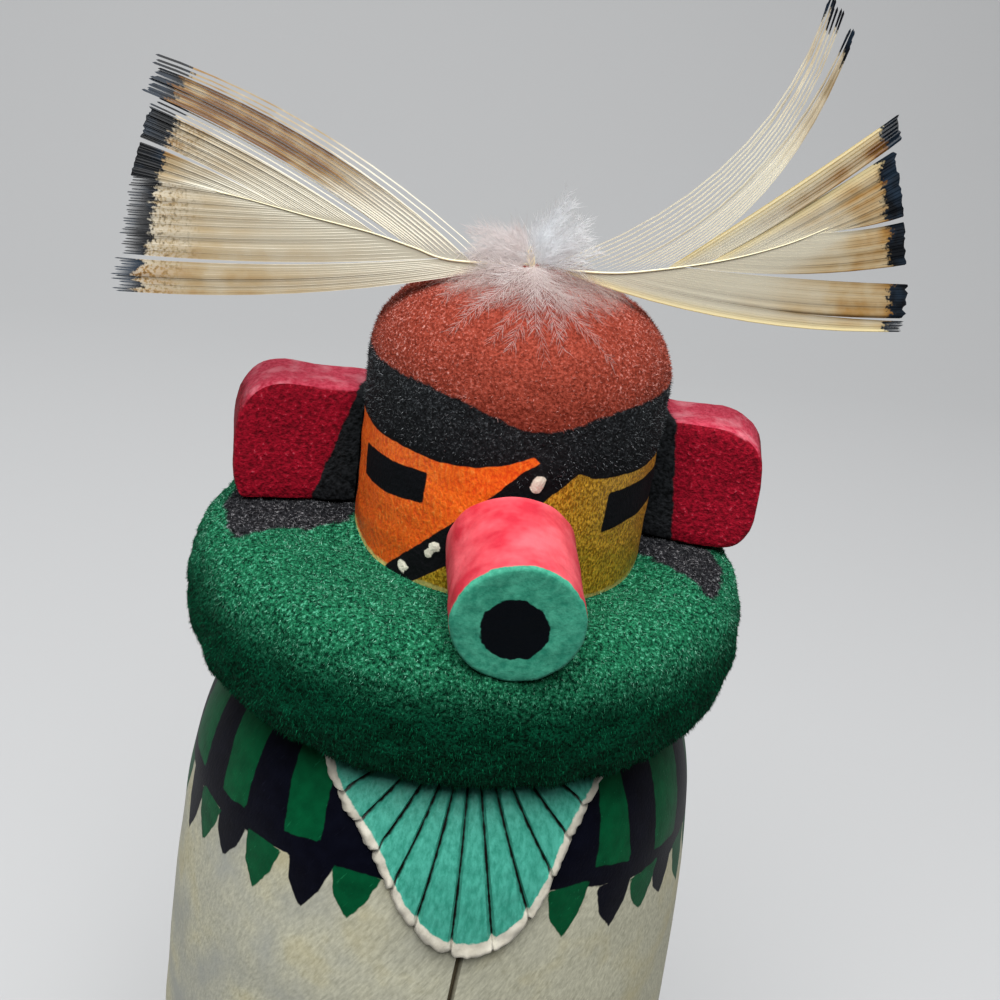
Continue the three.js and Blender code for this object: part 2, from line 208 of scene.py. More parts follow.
# Carved figure: crown, head, ruff and robe are one cottonwood root, turned round with a knife. The
# pendant stands in low relief on the robe, and the slit below it is cut in. All of it is painted.
HEAD_HEIGHT = 43
HEAD_RADIUS = 18.5
CROWN_HEIGHT = 12.1
CROWN_ROUNDNESS = 0.83
HEAD_LEFT = 2.8
HEAD_FORWARD = 0.5
RUFF_RADIUS = 36
RUFF_ROLL = 7.7
RUFF_HALF_HEIGHT = 9.7
RUFF_ROUNDNESS = 0.77
ROBE_HEIGHT = 147.7
ROBE_POINTS = [(36.5, -ROBE_HEIGHT), (37.7, -75), (34.4, -25), (26.3, -7.7)]
OVAL = 0.95
FINE_ROWS_FROM = -44
FRONT_LINE = 2.2
SLIT_WIDTH = 0.62
SLIT_LEAN = 0.08
SLIT_LEAN_FROM = -30
SLIT_LEAN_LENGTH = 12
SLIT_ROUNDS_UP = 2
SLIT_DEPTH = 1.2

crown_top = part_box("carved_figure")[1].z / MM
ruff_level = crown_top - HEAD_HEIGHT
ruff_top = ruff_level + RUFF_HALF_HEIGHT
hem_level = ruff_level - ROBE_HEIGHT


def through(points, count):
    """Points along a smooth curve that passes through all the given ones."""
    points = np.array(points, float)
    share = np.linspace(0, len(points) - 1, count)
    start = np.minimum(share.astype(int), len(points) - 2)
    part = (share - start)[:, None]
    last = len(points) - 1
    before, here, there, after = (points[np.clip(start + step, 0, last)] for step in (-1, 0, 1, 2))
    leave, arrive = (there - before) / 2, (after - here) / 2
    cubic = (2 * here - 2 * there + leave + arrive) * part**3
    return cubic + (3 * there - 3 * here - 2 * leave - arrive) * part**2 + leave * part + here


def spaced(line, gap):
    """The same line with its points an even gap apart."""
    line = np.array(line, float)
    along = np.concatenate([[0], np.cumsum(np.linalg.norm(np.diff(line, axis=0), axis=1))])
    even = np.linspace(0, along[-1], max(2, round(along[-1] / gap) + 1))
    return np.column_stack([np.interp(even, along, line[:, k]) for k in range(line.shape[1])])


def rounded(radius, roll, height, roundness, angles):
    """Points of a squarish quarter or half round, for angles from level."""
    across = np.abs(np.cos(angles)) ** roundness
    rise = np.sign(angles) * np.abs(np.sin(angles)) ** roundness
    return np.column_stack([radius - roll * (1 - across), height * rise])


robe_line = through(ROBE_POINTS, 800)
robe_line = robe_line[robe_line[:, 1] < -RUFF_HALF_HEIGHT]
half_turn = np.linspace(-0.5, 0.5, 801) * np.pi
ruff_line = rounded(RUFF_RADIUS, RUFF_ROLL, RUFF_HALF_HEIGHT, RUFF_ROUNDNESS, half_turn)
quarter_turn = np.linspace(0, 0.5, 801) * np.pi
crown_line = rounded(HEAD_RADIUS, HEAD_RADIUS, CROWN_HEIGHT, CROWN_ROUNDNESS, quarter_turn)
crown_line[:, 1] += HEAD_HEIGHT - CROWN_HEIGHT
stretches = [
    spaced([(0, -ROBE_HEIGHT), (ROBE_POINTS[0][0], -ROBE_HEIGHT)], 6),
    spaced(robe_line[robe_line[:, 1] < FINE_ROWS_FROM], 3),
    spaced(robe_line[robe_line[:, 1] >= FINE_ROWS_FROM], 0.62),
    spaced(ruff_line, 0.5),
    spaced([(RUFF_RADIUS - RUFF_ROLL, RUFF_HALF_HEIGHT), (HEAD_RADIUS, RUFF_HALF_HEIGHT)], 0.5),
    spaced([(HEAD_RADIUS, RUFF_HALF_HEIGHT), (HEAD_RADIUS, HEAD_HEIGHT - CROWN_HEIGHT)], 0.5)[1:],
    spaced(crown_line, 0.55)[1:],
]
profile = np.concatenate(stretches)
radius, height = profile[:, :1], profile[:, 1:]

# The columns lie closer together in front, and closest at the slit, where they follow its edges
turn = np.linspace(-np.pi, np.pi, 321)
columns = turn - 0.3 * np.sin(turn)
slit_angle = math.asin(FRONT_LINE / 36.8)
slit_steps = np.radians([-1.5, -1.15, -0.9, -0.7, -0.45, -0.2, 0, 0.2, 0.45, 0.7, 0.9, 1.15, 1.5])
columns = columns[np.abs(columns - slit_angle) > math.radians(1.8)]
columns = np.sort(np.concatenate([columns, slit_angle + slit_steps]))[None, :]
pull = np.exp(-((columns - slit_angle) / math.radians(6)) ** 2)
on_robe = (height < -RUFF_HALF_HEIGHT) & (radius > 30)


def slit_line(height):
    """The slit's place across, at heights from the ruff's middle: it leans a little at its top."""
    return FRONT_LINE - SLIT_LEAN * np.clip(SLIT_LEAN_FROM - height, 0, SLIT_LEAN_LENGTH)


slit_left = slit_line(height)
aim = np.where(on_robe, np.arcsin(np.clip(slit_left / np.maximum(radius, 20), 0, 1)) - slit_angle, 0)
azimuth = columns + aim * pull

PENDANT_LEFT = 0.6
PENDANT_LEAN = math.radians(5)
PENDANT_DROP = 2.5
PENDANT_SPREAD = math.radians(124)
PENDANT_LOBES = 12
pendant_level = ruff_level - PENDANT_DROP


def pendant_reach(angle):
    """How far the pendant's rim lies from its centre point, at an angle from straight down."""
    return 19.5 + 10 * np.cos(np.minimum(np.abs(angle - PENDANT_LEAN) * 1.75, np.pi / 2)) ** 3


slit_top = -PENDANT_DROP - pendant_reach(PENDANT_LEAN)
from_slit = np.abs(radius * np.sin(azimuth) - slit_left)
groove = np.clip((0.62 * SLIT_WIDTH - from_slit) / (0.3 * SLIT_WIDTH), 0, 1)
groove = groove * np.clip(slit_top + SLIT_ROUNDS_UP - height, 0, 1) * (np.cos(azimuth) > 0) * on_robe
carved_radius = radius - SLIT_DEPTH * groove * (3 - 2 * groove) * groove

# Above the ruff the rings slide from the ruff's oval to the head's round, which stands to one side,
# and the ruff's top dips a little in front of the face
SLIDE_FROM = 28
FACE_DIP = 1.1
DIP_FROM = 27
DIP_OVER = 7
DIP_SIDES = 82
DIP_FADE = 27
to_head = np.clip((SLIDE_FROM - radius) / (SLIDE_FROM - HEAD_RADIUS), 0, 1) * (height > 0)
near_face = np.clip((DIP_FROM - radius) / DIP_OVER, 0, 1) * (height > 0) * (height < RUFF_HALF_HEIGHT + 0.01)
in_front = np.clip((math.radians(DIP_SIDES) - np.abs(azimuth)) / math.radians(DIP_FADE), 0, 1)
dip = FACE_DIP * near_face * in_front**2 * (3 - 2 * in_front)
body = np.stack([
    carved_radius * np.sin(azimuth) + HEAD_LEFT * to_head,
    -carved_radius * np.cos(azimuth) * (OVAL + (1 - OVAL) * to_head) - HEAD_FORWARD * to_head,
    height + ruff_level - dip,
], axis=-1)
figure = wrap("painted_figure", body)


def roughen(piece, chosen, amount, size):
    """Pushes the chosen corners in and out by soft noise of that size, in millimetres."""
    at, out = places(piece), normals(piece)
    push = np.array([noise.noise(Vector(p)) for p in at[chosen] / size])
    at[chosen] += out[chosen] * (amount * push)[:, None]
    settle(piece, at)
    piece.data.update()


at = places(figure)
ruff_corners = (at[:, 2] > ruff_level - RUFF_HALF_HEIGHT + 0.01) & (at[:, 2] <= ruff_top + 0.01)
ruff_corners &= np.hypot(at[:, 0] - HEAD_LEFT, at[:, 1] + HEAD_FORWARD) > HEAD_RADIUS + 0.2
roughen(figure, ruff_corners, 0.5, 4.5)
roughen(figure, ruff_corners, 0.35, 1.3)
roughen(figure, at[:, 2] > ruff_top + 0.3, 0.16, 3)
roughen(figure, at[:, 2] > crown_top - CROWN_HEIGHT, 0.14, 1.2)
roughen(figure, at[:, 2] < ruff_level - RUFF_HALF_HEIGHT, 0.22, 9)


def robe_front(across, level):
    """How far forward the robe's front lies, at a place in its front view, in millimetres."""
    ring = np.interp(level - ruff_level, robe_line[:, 1], robe_line[:, 0])
    return OVAL * np.sqrt(np.maximum(ring**2 - across**2, 1))


PENDANT_START = 7.5
PENDANT_RELIEF = 1.3
PENDANT_RIM = (2.6, 1.9, 1.3)
GROOVE_FLOOR = 0.4
GROOVE_WIDTH = 0.5

lobe_step = PENDANT_SPREAD / PENDANT_LOBES
within = 0.5 - 0.5 * np.cos(np.pi * np.arange(14) / 14)
lobe_angles = [(lobe + within) * lobe_step for lobe in range(PENDANT_LOBES)] + [[PENDANT_SPREAD]]
lobe_angles = np.concatenate(lobe_angles) - PENDANT_SPREAD / 2
outward = 1 - (1 - np.linspace(0, 1, 58)) ** 1.25


def lobe_phase(angle):
    """Nought in the middle of a lobe and one at the grooves beside it."""
    return np.abs(((angle / lobe_step) + PENDANT_LOBES) % 1 - 0.5) * 2


bpy.ops.object.select_all(action="DESELECT")
bpy.ops.mesh.primitive_grid_add(x_subdivisions=len(lobe_angles) - 1, y_subdivisions=len(outward) - 1, size=2)
pendant = bpy.context.object
edit(pendant, lambda: bpy.ops.mesh.extrude_region_move(TRANSFORM_OT_translate={"value": (0, 0, -1)}))
flat = places(pendant) * MM
column = np.rint((flat[:, 0] + 1) / 2 * (len(lobe_angles) - 1)).astype(int)
row = np.rint((flat[:, 1] + 1) / 2 * (len(outward) - 1)).astype(int)
angle = lobe_angles[column]
phase = lobe_phase(angle)
reach = pendant_reach(angle) + 0.15 - 0.25 * phase**4
wobble = np.array([noise.noise(Vector((a * 30, 0, 0))) for a in angle])
reach = reach + 0.4 * wobble
span = PENDANT_START + (reach - PENDANT_START) * outward[row]
across = span * np.sin(angle) + PENDANT_LEFT
level = pendant_level - span * np.cos(angle)
to_groove = (1 - phase) * 0.5 * lobe_step * span
groove = np.exp(-(to_groove / (GROOVE_WIDTH * 0.5)) ** 2)
edge = np.clip((reach - span) / 0.9, 0, 1)
lump = np.array([noise.noise(Vector((x / 1.6, 0, z / 1.6))) for x, z in zip(across, level)])
rim = np.clip(1 - np.abs(reach - span - 1.2) / 1.2, 0, 1)
relief = PENDANT_RELIEF - (PENDANT_RELIEF - GROOVE_FLOOR) * groove * (1 - 0.8 * rim)
relief = (relief + 0.2 * rim + 0.45 * lump * rim + 0.06 * lump) * np.sqrt(edge * (2 - edge))
relief = np.where(flat[:, 2] < -0.5, -1.6, relief - 0.35 * (1 - edge))
shape = np.column_stack([across, -robe_front(across, level) - relief, level])
settle(pendant, shape)
edit(pendant, lambda: bpy.ops.mesh.normals_make_consistent(inside=False))

# Moccasins and legs, plain: soles with round ends, set a little apart and turned outwards
FOOT_LENGTH = 42
FOOT_WIDTH = 20
FOOT_FORWARD = 5
FOOT_TURN = 8
STANCE = 25
LEG_RADIUS = 7.5
GAP = 0.3
ankle = slab_high[2] + GAP


def foot(side):
    """One moccasin with its leg, for the doll's right (-1) or left (1)."""
    rows = []
    round_turn = np.linspace(0, 2 * np.pi, 65)
    straight = (FOOT_LENGTH - FOOT_WIDTH) / 2
    for up, inset in [(0, 1.2), (0.5, 0.4), (1.5, 0), (4.2, 0), (6, 0.5), (7.4, 1.4), (8.2, 2.6), (8.5, 4)]:
        half = FOOT_WIDTH / 2 - inset
        x = half * np.cos(round_turn)
        y = half * np.sin(round_turn) + straight * np.sign(np.round(np.sin(round_turn), 6))
        toe = 1 - 0.12 * np.clip(y / (FOOT_LENGTH / 2), -1, 1)
        rows.append(np.column_stack([x, y, up * toe]))
    shoe = wrap("shoe", rows)
    bpy.ops.object.select_all(action="DESELECT")
    bpy.ops.mesh.primitive_cylinder_add(vertices=48, radius=LEG_RADIUS * MM, depth=(hem_level - ankle) * MM,
                                        location=(0, FOOT_FORWARD * MM, (hem_level - ankle + 3) / 2 * MM))
    leg = bpy.context.object
    bpy.ops.object.transform_apply(location=True, rotation=True, scale=True)
    work(shoe, "UNION", leg)
    shoe.data.transform(Matrix.Rotation(side * math.radians(FOOT_TURN), 4, "Z"))
    shoe.data.transform(Matrix.Translation(Vector((side * STANCE / 2, -FOOT_FORWARD, ankle)) * MM))
    return shoe


def work(piece, how, other):
    """Joins another closed mesh to a piece, or cuts it away, and removes the other."""
    step = piece.modifiers.new(how.lower(), "BOOLEAN")
    step.operation = how
    step.solver = "MANIFOLD"
    step.object = other
    alone(piece)
    bpy.ops.object.modifier_apply(modifier=step.name)
    bpy.data.objects.remove(other)


robe_paint, robe_tree = new_material("acrylic paint on shaved cottonwood, brushed")
ruff_paint, ruff_tree = new_material("green paint thick with sawdust, stippled")
head_paint, head_tree = new_material("acrylic and metallic paint on the head, brushed")
pendant_paint, pendant_tree = new_material("turquoise and bone paint on carved relief, brushed")
shoe_paint, shoe_tree = new_material("brown paint on the moccasins, brushed")
for material in (robe_paint, ruff_paint, head_paint, pendant_paint, shoe_paint):
    figure.data.materials.append(material)
pendant.data.materials.append(pendant_paint)

for side in (-1, 1):
    shoe = foot(side)
    shoe.data.materials.append(shoe_paint)
    work(figure, "UNION", shoe)
work(figure, "UNION", pendant)

# Each stretch of the figure gets its own paint, by the order of its materials
middle = gathered(figure.data.polygons, "center", 3) / MM
kept = gathered(figure.data.polygons, "material_index", kind=np.int32)
off_head = np.hypot(middle[:, 0] - HEAD_LEFT, middle[:, 1] + HEAD_FORWARD)
given = np.zeros(len(middle), np.int32)
given[middle[:, 2] > ruff_level - RUFF_HALF_HEIGHT - 0.02] = 1
given[(middle[:, 2] > ruff_top - 2) & (off_head < HEAD_RADIUS + 0.15)] = 2
given[kept == 3] = 3
given[(middle[:, 2] < hem_level - 0.1)] = 4
figure.data.polygons.foreach_set("material_index", given)
smooth(figure, 40)


def inside(points, outline):
    """How far each point lies inside a closed outline, and less than zero outside it."""
    x, y = points[:, 0], points[:, 1]
    nearest = np.full(len(points), 1e9)
    within = np.zeros(len(points), bool)
    for (ax, ay), (bx, by) in zip(outline, [*outline[1:], outline[0]]):
        run, rise = bx - ax, by - ay
        share = np.clip(((x - ax) * run + (y - ay) * rise) / (run**2 + rise**2), 0, 1)
        nearest = np.minimum(nearest, np.hypot(x - ax - share * run, y - ay - share * rise))
        if rise:
            within ^= ((ay > y) != (by > y)) & (x < ax + (y - ay) * run / rise)
    return np.where(within, nearest, -nearest)


def note(piece, name, values):
    """Writes one number for each corner, which the piece's material reads."""
    piece.data.attributes.new(name, "FLOAT", "POINT")
    piece.data.attributes[name].data.foreach_set("value", np.asarray(values, np.float32))


# Face paint in degrees round the head, plus to its left, and millimetres above the ruff's middle
ORANGE = [(-86, 25.2), (-65, 24.8), (-28, 24.8), (-17.5, 25.2), (-7.6, 26), (-1.3, 26.8), (2.8, 27.5),
          (5.6, 27), (-0.7, 25.4), (-7.1, 23.1), (-24.9, 17), (-32.1, 14.7), (-39.8, 12.1),
          (-50, 9), (-50, 5), (-86, 5)]
GOLD = [(-49.1, 7.5), (-35.7, 8.6), (-29, 10.5), (-23.3, 12), (10.1, 22.6), (13.9, 23.5), (17, 24.5),
        (20.3, 25.5), (27, 24.7), (46.5, 24.4), (72, 24.6), (72, 5), (-49.1, 5)]
RIGHT_EYE = [(-71.2, 22.2), (-52, 22.4), (-34.6, 23), (-35.2, 19), (-54, 18), (-71.6, 18)]
LEFT_EYE = [(35.2, 22.6), (76, 22.8), (76, 18.6), (34.4, 17.4)]
DOTS = [(-41.3, 9.9, 0.85), (-40.2, 9.6, 0.85), (-30.3, 13.1, 0.6), (-29.2, 14, 0.5), (-27.7, 14.2, 0.6),
        (5.3, 23.9, 0.75), (6.1, 24.7, 0.75)]

at = places(figure)
round_head = np.arctan2(at[:, 0] - HEAD_LEFT, -(at[:, 1] + HEAD_FORWARD))
above = at[:, 2] - ruff_level
on_face = np.column_stack([round_head * HEAD_RADIUS, above])


def face_mark(outline):
    """How far each corner lies inside a mark that is drawn on the face."""
    return inside(on_face, [(math.radians(x) * HEAD_RADIUS, z) for x, z in outline])


def mark(name, depth):
    """Notes how far the figure's corners lie inside a painted mark, no further than it matters."""
    note(figure, name, np.clip(depth, -9, 9))


dots = np.full(len(at), -9.0)
for x, z, size in DOTS:
    away = np.hypot(on_face[:, 0] - math.radians(x) * HEAD_RADIUS, on_face[:, 1] - z)
    dots = np.maximum(dots, size - away)
border = 33.2 - 2.7 * np.exp(-((np.degrees(round_head) - 3) / 22) ** 2)
mark("orange", face_mark(ORANGE))
mark("gold", face_mark(GOLD))
mark("eyes", np.maximum(face_mark(RIGHT_EYE), face_mark(LEFT_EYE)))
mark("dots", dots)
mark("rust", above - border)
dipped = np.clip((DIP_SIDES - np.abs(np.degrees(round_head))) / DIP_FADE, 0, 1)
mark("foot", RUFF_HALF_HEIGHT - FACE_DIP * dipped + 0.55 - above)

# The dots are thick drops of paint, a little proud of the face
on_head = np.hypot(at[:, 0] - HEAD_LEFT, at[:, 1] + HEAD_FORWARD) < HEAD_RADIUS + 0.4
face_corners = on_head & (above > RUFF_HALF_HEIGHT - FACE_DIP) & (above < HEAD_HEIGHT - CROWN_HEIGHT)
proud = 0.35 * np.sqrt(np.clip(dots / 0.7, 0, 1)) * face_corners
at = at + normals(figure) * proud[:, None]
settle(figure, at)

# Shoulder paint in degrees round the robe and millimetres below the ruff's middle: green stripes,
# each with its two lower and two upper corners, on black, and a fringe of leaves that changes colour
FRINGE_ROOT = [(-180, -28.5), (-110, -28), (-70, -26.2), (-47, -24.9), (-27, -23.5), (0, -22.5), (20, -23.8),
               (41, -26.2), (60, -28.6), (110, -29), (180, -28.5)]
STRIPES = [(-83, -68.6, -91, -75), (-58.1, -48.9, -66, -52), (-37.1, -28.3, -42.5, -31),
           (31.6, 41.6, 36.5, 43), (50.5, 61.9, 56, 71)]
STRIPE_FOOT = 2.6
STRIPE_TOP = -8
# Each leaf is its tip's angle, its tip's height and whether it is black
LEAVES = [(-72, -35.4, 1), (-62.8, -32.8, 0), (-53.4, -31.1, 1), (-42.8, -31.8, 0), (-30.5, -30.7, 1),
          (-20.3, -29.7, 0), (24.4, -31.4, 0), (36.6, -32.4, 1), (46.2, -32.6, 0), (54.7, -33, 1),
          (66, -35.9, 0)]
LEAF_PITCH = 10
ROUND_BACK = 76

shoulder = np.mean([ROBE_POINTS[2][0], 36])
round_robe = np.arctan2(at[:, 0], -at[:, 1] / OVAL)
on_robe = np.column_stack([round_robe * shoulder, above])


def around(points):
    """Points given in degrees round the robe, as places on it laid flat."""
    return [(math.radians(x) * shoulder, z) for x, z in points]


def root(x):
    """How high the fringe's leaves begin, at an angle round the robe."""
    return float(np.interp(x, *zip(*FRINGE_ROOT)))


LEAF_LENGTH = 6.5
LEAF_LEAN = 0.8
LEAF_HALF = LEAF_PITCH / 2 + 0.2
tips = LEAVES + [(x, root(x) - LEAF_LENGTH, round((x - ROUND_BACK) / LEAF_PITCH) % 2)
                 for x in range(ROUND_BACK, 360 - ROUND_BACK - 6, LEAF_PITCH)]
black = above - np.interp(np.degrees(round_robe), *zip(*FRINGE_ROOT))
green = np.full(len(at), -9.0)
for tip, low, dark in tips:
    centre = (tip + 180) % 360 - 180
    top = root(centre)
    half_way = (top + low) / 2
    leaf = [(centre - LEAF_HALF + LEAF_LEAN, top + 0.3), (centre + LEAF_HALF + LEAF_LEAN, top + 0.3),
            (centre + LEAF_HALF * 0.72, half_way), (centre, low), (centre - LEAF_HALF * 0.66, half_way - 0.3)]
    depth = inside(on_robe, around(leaf))
    if dark:
        black = np.maximum(black, depth)
    else:
        green = np.maximum(green, depth)
back_stripes = [(x, x + 9, x, x + 9) for x in [*range(78, 165, 20), *range(-180, -95, 20)]]
for first, second, top_first, top_second in STRIPES + back_stripes:
    stripe = [(first, root(first) + STRIPE_FOOT), (second, root(second) + STRIPE_FOOT),
              (top_second, STRIPE_TOP), (top_first, STRIPE_TOP)]
    green = np.maximum(green, inside(on_robe, around(stripe)))
mark("black", black)
mark("green", green)

# Grey-black patches on the ruff's top, in front of each ear, in millimetres from the ruff's middle
PATCHES = [
    [(-32.4, -0.6), (-30.1, -9.9), (-26.7, -8.5), (-23.5, -7), (-20.1, -5.2), (-16.4, -3.7), (-15, 6),
     (-31, 6)],
    [(20, -4), (22.1, -5.1), (24.3, -8.3), (28, -13.5), (29.5, -14), (31.7, -7.4), (31.3, -2.5),
     (28, 2), (20, 4)],
]
patch = np.maximum(*(inside(at[:, :2], outline) for outline in PATCHES))
mark("patch", np.where(at[:, 2] > ruff_level + 3, patch, -9))

angle = np.arctan2(at[:, 0] - PENDANT_LEFT, pendant_level - at[:, 2])
span = np.hypot(at[:, 0] - PENDANT_LEFT, pendant_level - at[:, 2])
note(figure, "to_groove", (1 - lobe_phase(angle)) * 0.5 * lobe_step * span)
rim_width = np.interp(np.degrees(np.abs(angle - PENDANT_LEAN)), [0, 25, 60], PENDANT_RIM)
mark("rim", rim_width - pendant_reach(angle) + span)
# How far inside the slit each corner lies; the robe's paint darkens the slit by it, as painted shade
in_cut = SLIT_WIDTH / 2 - np.abs(at[:, 0] - slit_line(above))
mark("slit", np.where((at[:, 1] < 0) & (above < slit_top + 1), in_cut, -9))


def mask(tree, name, soft, wobble=None, reach=0.0):
    """Where a noted mark is inside, with a soft and slightly wandering edge; sizes in millimetres."""
    value = add(tree, "Attribute", out="Fac", attribute_name=name)
    if wobble is not None:
        value = add(tree, "Math", {0: wobble, 1: 2 * reach, 2: value}, operation="MULTIPLY_ADD")
        value = add(tree, "Math", {0: value, 1: reach}, operation="SUBTRACT")
    return add(tree, "MapRange", {"Value": value, "From Min": -soft, "From Max": soft})


def joined(tree, how, first, *others):
    """Several masks or numbers worked together in turn."""
    for other in others:
        first = add(tree, "Math", {0: first, 1: other}, operation=how)
    return first


# Acrylic on the robe: bone white brushed on thin and slanting, satin black and green over it
tree = robe_tree
spot = add(tree, "TexCoord", out="Object")
strokes, cross = (add(tree, "Mapping", {"Vector": spot, "Rotation": (0, math.radians(slant), 0),
                                        "Scale": (1, 1, stretch)}, vector_type="TEXTURE")
                  for slant, stretch in [(34, 7), (20, 2)])
brush = add(tree, "TexNoise", {"Vector": strokes, "Scale": per(0.28), "Detail": 3.0, "Roughness": 0.55})
scrub = add(tree, "TexNoise", {"Vector": cross, "Scale": per(0.5), "Detail": 3.0, "Roughness": 0.6})
cloud = add(tree, "TexNoise", {"Vector": spot, "Scale": per(9), "Detail": 3.0})
wobble = add(tree, "TexNoise", {"Vector": spot, "Scale": per(1.8), "Detail": 2.0})
ridges = joined(tree, "ADD", brush, scrub)
thin = add(tree, "MapRange", {"Value": ridges, "From Min": 0.72, "From Max": 1.25})
aside = add(tree, "SeparateXYZ", {0: spot}, "X")
to_right = add(tree, "MapRange", {"Value": aside, "From Min": 25 * MM, "From Max": -25 * MM})
# Greyer in clouds towards the doll's right side: a painted grey cast of the light falling on that side
painted_light_mask = add(tree, "MapRange", {"Value": cloud, "From Min": 0.42, "From Max": 0.7})
grey = joined(tree, "MULTIPLY", painted_light_mask, to_right, 0.75)
stain = add(tree, "MapRange", {"Value": cloud, "From Min": 0.45, "From Max": 0.25, "To Max": 0.45})
rubbed = add(tree, "MapRange", {"Value": brush, "From Min": 0.66, "From Max": 0.72, "To Max": 0.5})
night = coats(tree, "#03030A", (wobble, "#0B0D1A"), (rubbed, "#181A28"))
leaf_green = coats(tree, "#00341D", (wobble, "#045A34"), (rubbed, "#1F7D51"))
cut = add(tree, "Attribute", out="Fac", attribute_name="slit")
# Dark brown in the slit: painted shade in the cut
slit_painted_shade = add(tree, "MapRange", {"Value": cut, "From Min": -0.15, "From Max": 0.2})
colour = coats(tree, "#A5A38E", (thin, "#C9C7B0"), (grey, "#9DA09C"), (stain, "#BFB27E"),
               (slit_painted_shade, "#5C5340"),
               (mask(tree, "black", 0.08, wobble, 0.25), night),
               (mask(tree, "green", 0.08, wobble, 0.3), leaf_green))
painted = joined(tree, "MAXIMUM", mask(tree, "black", 0.1), mask(tree, "green", 0.1))
gloss = add(tree, "MapRange", {"Value": painted, "To Min": 0.72, "To Max": 0.5})
shine = add(tree, "MapRange", {"Value": painted, "To Min": 0.25, "To Max": 0.06})
surface(tree, colour, {"Roughness": gloss, "Specular IOR Level": shine}, ridges, 0.05, 0.6)


def ruff_low_painted_shade(tree):
    """One on the ruff's lower half, which is painted darker green as shade and has no pale specks, and nought
    on top.
    """
    high = add(tree, "SeparateXYZ", {0: add(tree, "TexCoord", out="Object")}, "Z")
    return add(tree, "MapRange", {"Value": high, "From Min": (ruff_level + 8.5) * MM,
                                  "From Max": (ruff_level + 1) * MM}, interpolation_type="SMOOTHSTEP")


# Green paint thick with sawdust on the ruff, stippled on: rough, dull, with dark pits and pale specks.
# What light falls in between the crumbs is lost, so it shines less than its smooth paint does
tree = ruff_tree
spot = add(tree, "TexCoord", out="Object")
crumb = add(tree, "TexNoise", {"Vector": spot, "Scale": per(0.42), "Detail": 3.0, "Roughness": 0.65})
wobble = add(tree, "TexNoise", {"Vector": spot, "Scale": per(1.6), "Detail": 2.0})
pits = add(tree, "MapRange", {"Value": crumb, "From Min": 0.38, "From Max": 0.56})
specks = add(tree, "MapRange", {"Value": crumb, "From Min": 0.58, "From Max": 0.66})
shaded_green = coats(tree, "#011A0F", (pits, "#04402A"))
charcoal = coats(tree, "#0B0C0E", (pits, "#2B2C2F"), (specks, "#7B7B7D"))
# The lower half is painted dark green, with no pale specks: painted shade under the ruff's bulge
colour = coats(tree, "#03281A", (pits, "#1F6E4B"), (specks, "#55A585"), (ruff_low_painted_shade(tree), shaded_green),
               (mask(tree, "patch", 0.25, wobble, 0.9), charcoal))
surface(tree, colour, {"Roughness": 0.95, "Specular IOR Level": 0.05}, crumb, 0.35, 1.0)

# Paint on the head: rust and charcoal thick with sawdust above, glossy orange and crinkled metallic
# gold on the face, flat black eyes and stripe, and drops of cream
tree = head_tree
spot = add(tree, "TexCoord", out="Object")
upright = add(tree, "Mapping", {"Vector": spot, "Scale": (1, 1, 0.55)})
crumb = add(tree, "TexNoise", {"Vector": spot, "Scale": per(0.36), "Detail": 3.0, "Roughness": 0.65})
streak = add(tree, "TexNoise", {"Vector": upright, "Scale": per(0.4), "Detail": 4.0, "Roughness": 0.62})
crinkle_glints = add(tree, "TexNoise", {"Vector": upright, "Scale": per(0.24), "Detail": 3.0, "Roughness": 0.6})
cloud = add(tree, "TexNoise", {"Vector": spot, "Scale": per(5), "Detail": 3.0})
wobble = add(tree, "TexNoise", {"Vector": spot, "Scale": per(1.4), "Detail": 2.0})
pits = add(tree, "MapRange", {"Value": crumb, "From Min": 0.38, "From Max": 0.6})
specks = add(tree, "MapRange", {"Value": crumb, "From Min": 0.58, "From Max": 0.68})
level = add(tree, "SeparateXYZ", {0: spot}, "Z")
band = add(tree, "MapRange", {"Value": level, "From Min": (ruff_level + 24) * MM,
                              "From Max": (ruff_level + 30) * MM})
thick_black = coats(tree, "#0A0B0D", (pits, "#26292C"), (specks, "#54585B"))
# Pale specks on the rust paint at the crown's sides: dust, and a painted sheen of the nap
away = joined(tree, "SUBTRACT", add(tree, "SeparateXYZ", {0: spot}, "X"), HEAD_LEFT * MM)
away = add(tree, "Math", {0: away}, operation="ABSOLUTE")
away = add(tree, "Math", {0: cloud, 1: 8 * MM, 2: away}, operation="MULTIPLY_ADD")
dust_and_sheen = add(tree, "MapRange", {"Value": away, "From Min": 9 * MM, "From Max": 19 * MM, "To Min": 0.1})
rust = coats(tree, "#702618", (pits, "#9E4433"), (joined(tree, "MULTIPLY", specks, dust_and_sheen), "#D39B92"))
fresh = add(tree, "MapRange", {"Value": streak, "From Min": 0.38, "From Max": 0.56})
glint = add(tree, "MapRange", {"Value": streak, "From Min": 0.6, "From Max": 0.7, "To Max": 0.7})
low_face = add(tree, "MapRange", {"Value": level, "From Min": (ruff_level + 20) * MM,
                                  "From Max": (ruff_level + 11) * MM, "To Max": 0.9})
blotch = joined(tree, "MULTIPLY", low_face, cloud)
orange = coats(tree, "#EC5610", (fresh, "#FF761C"), (glint, "#FFA04C"), (blotch, "#C03C0A"))
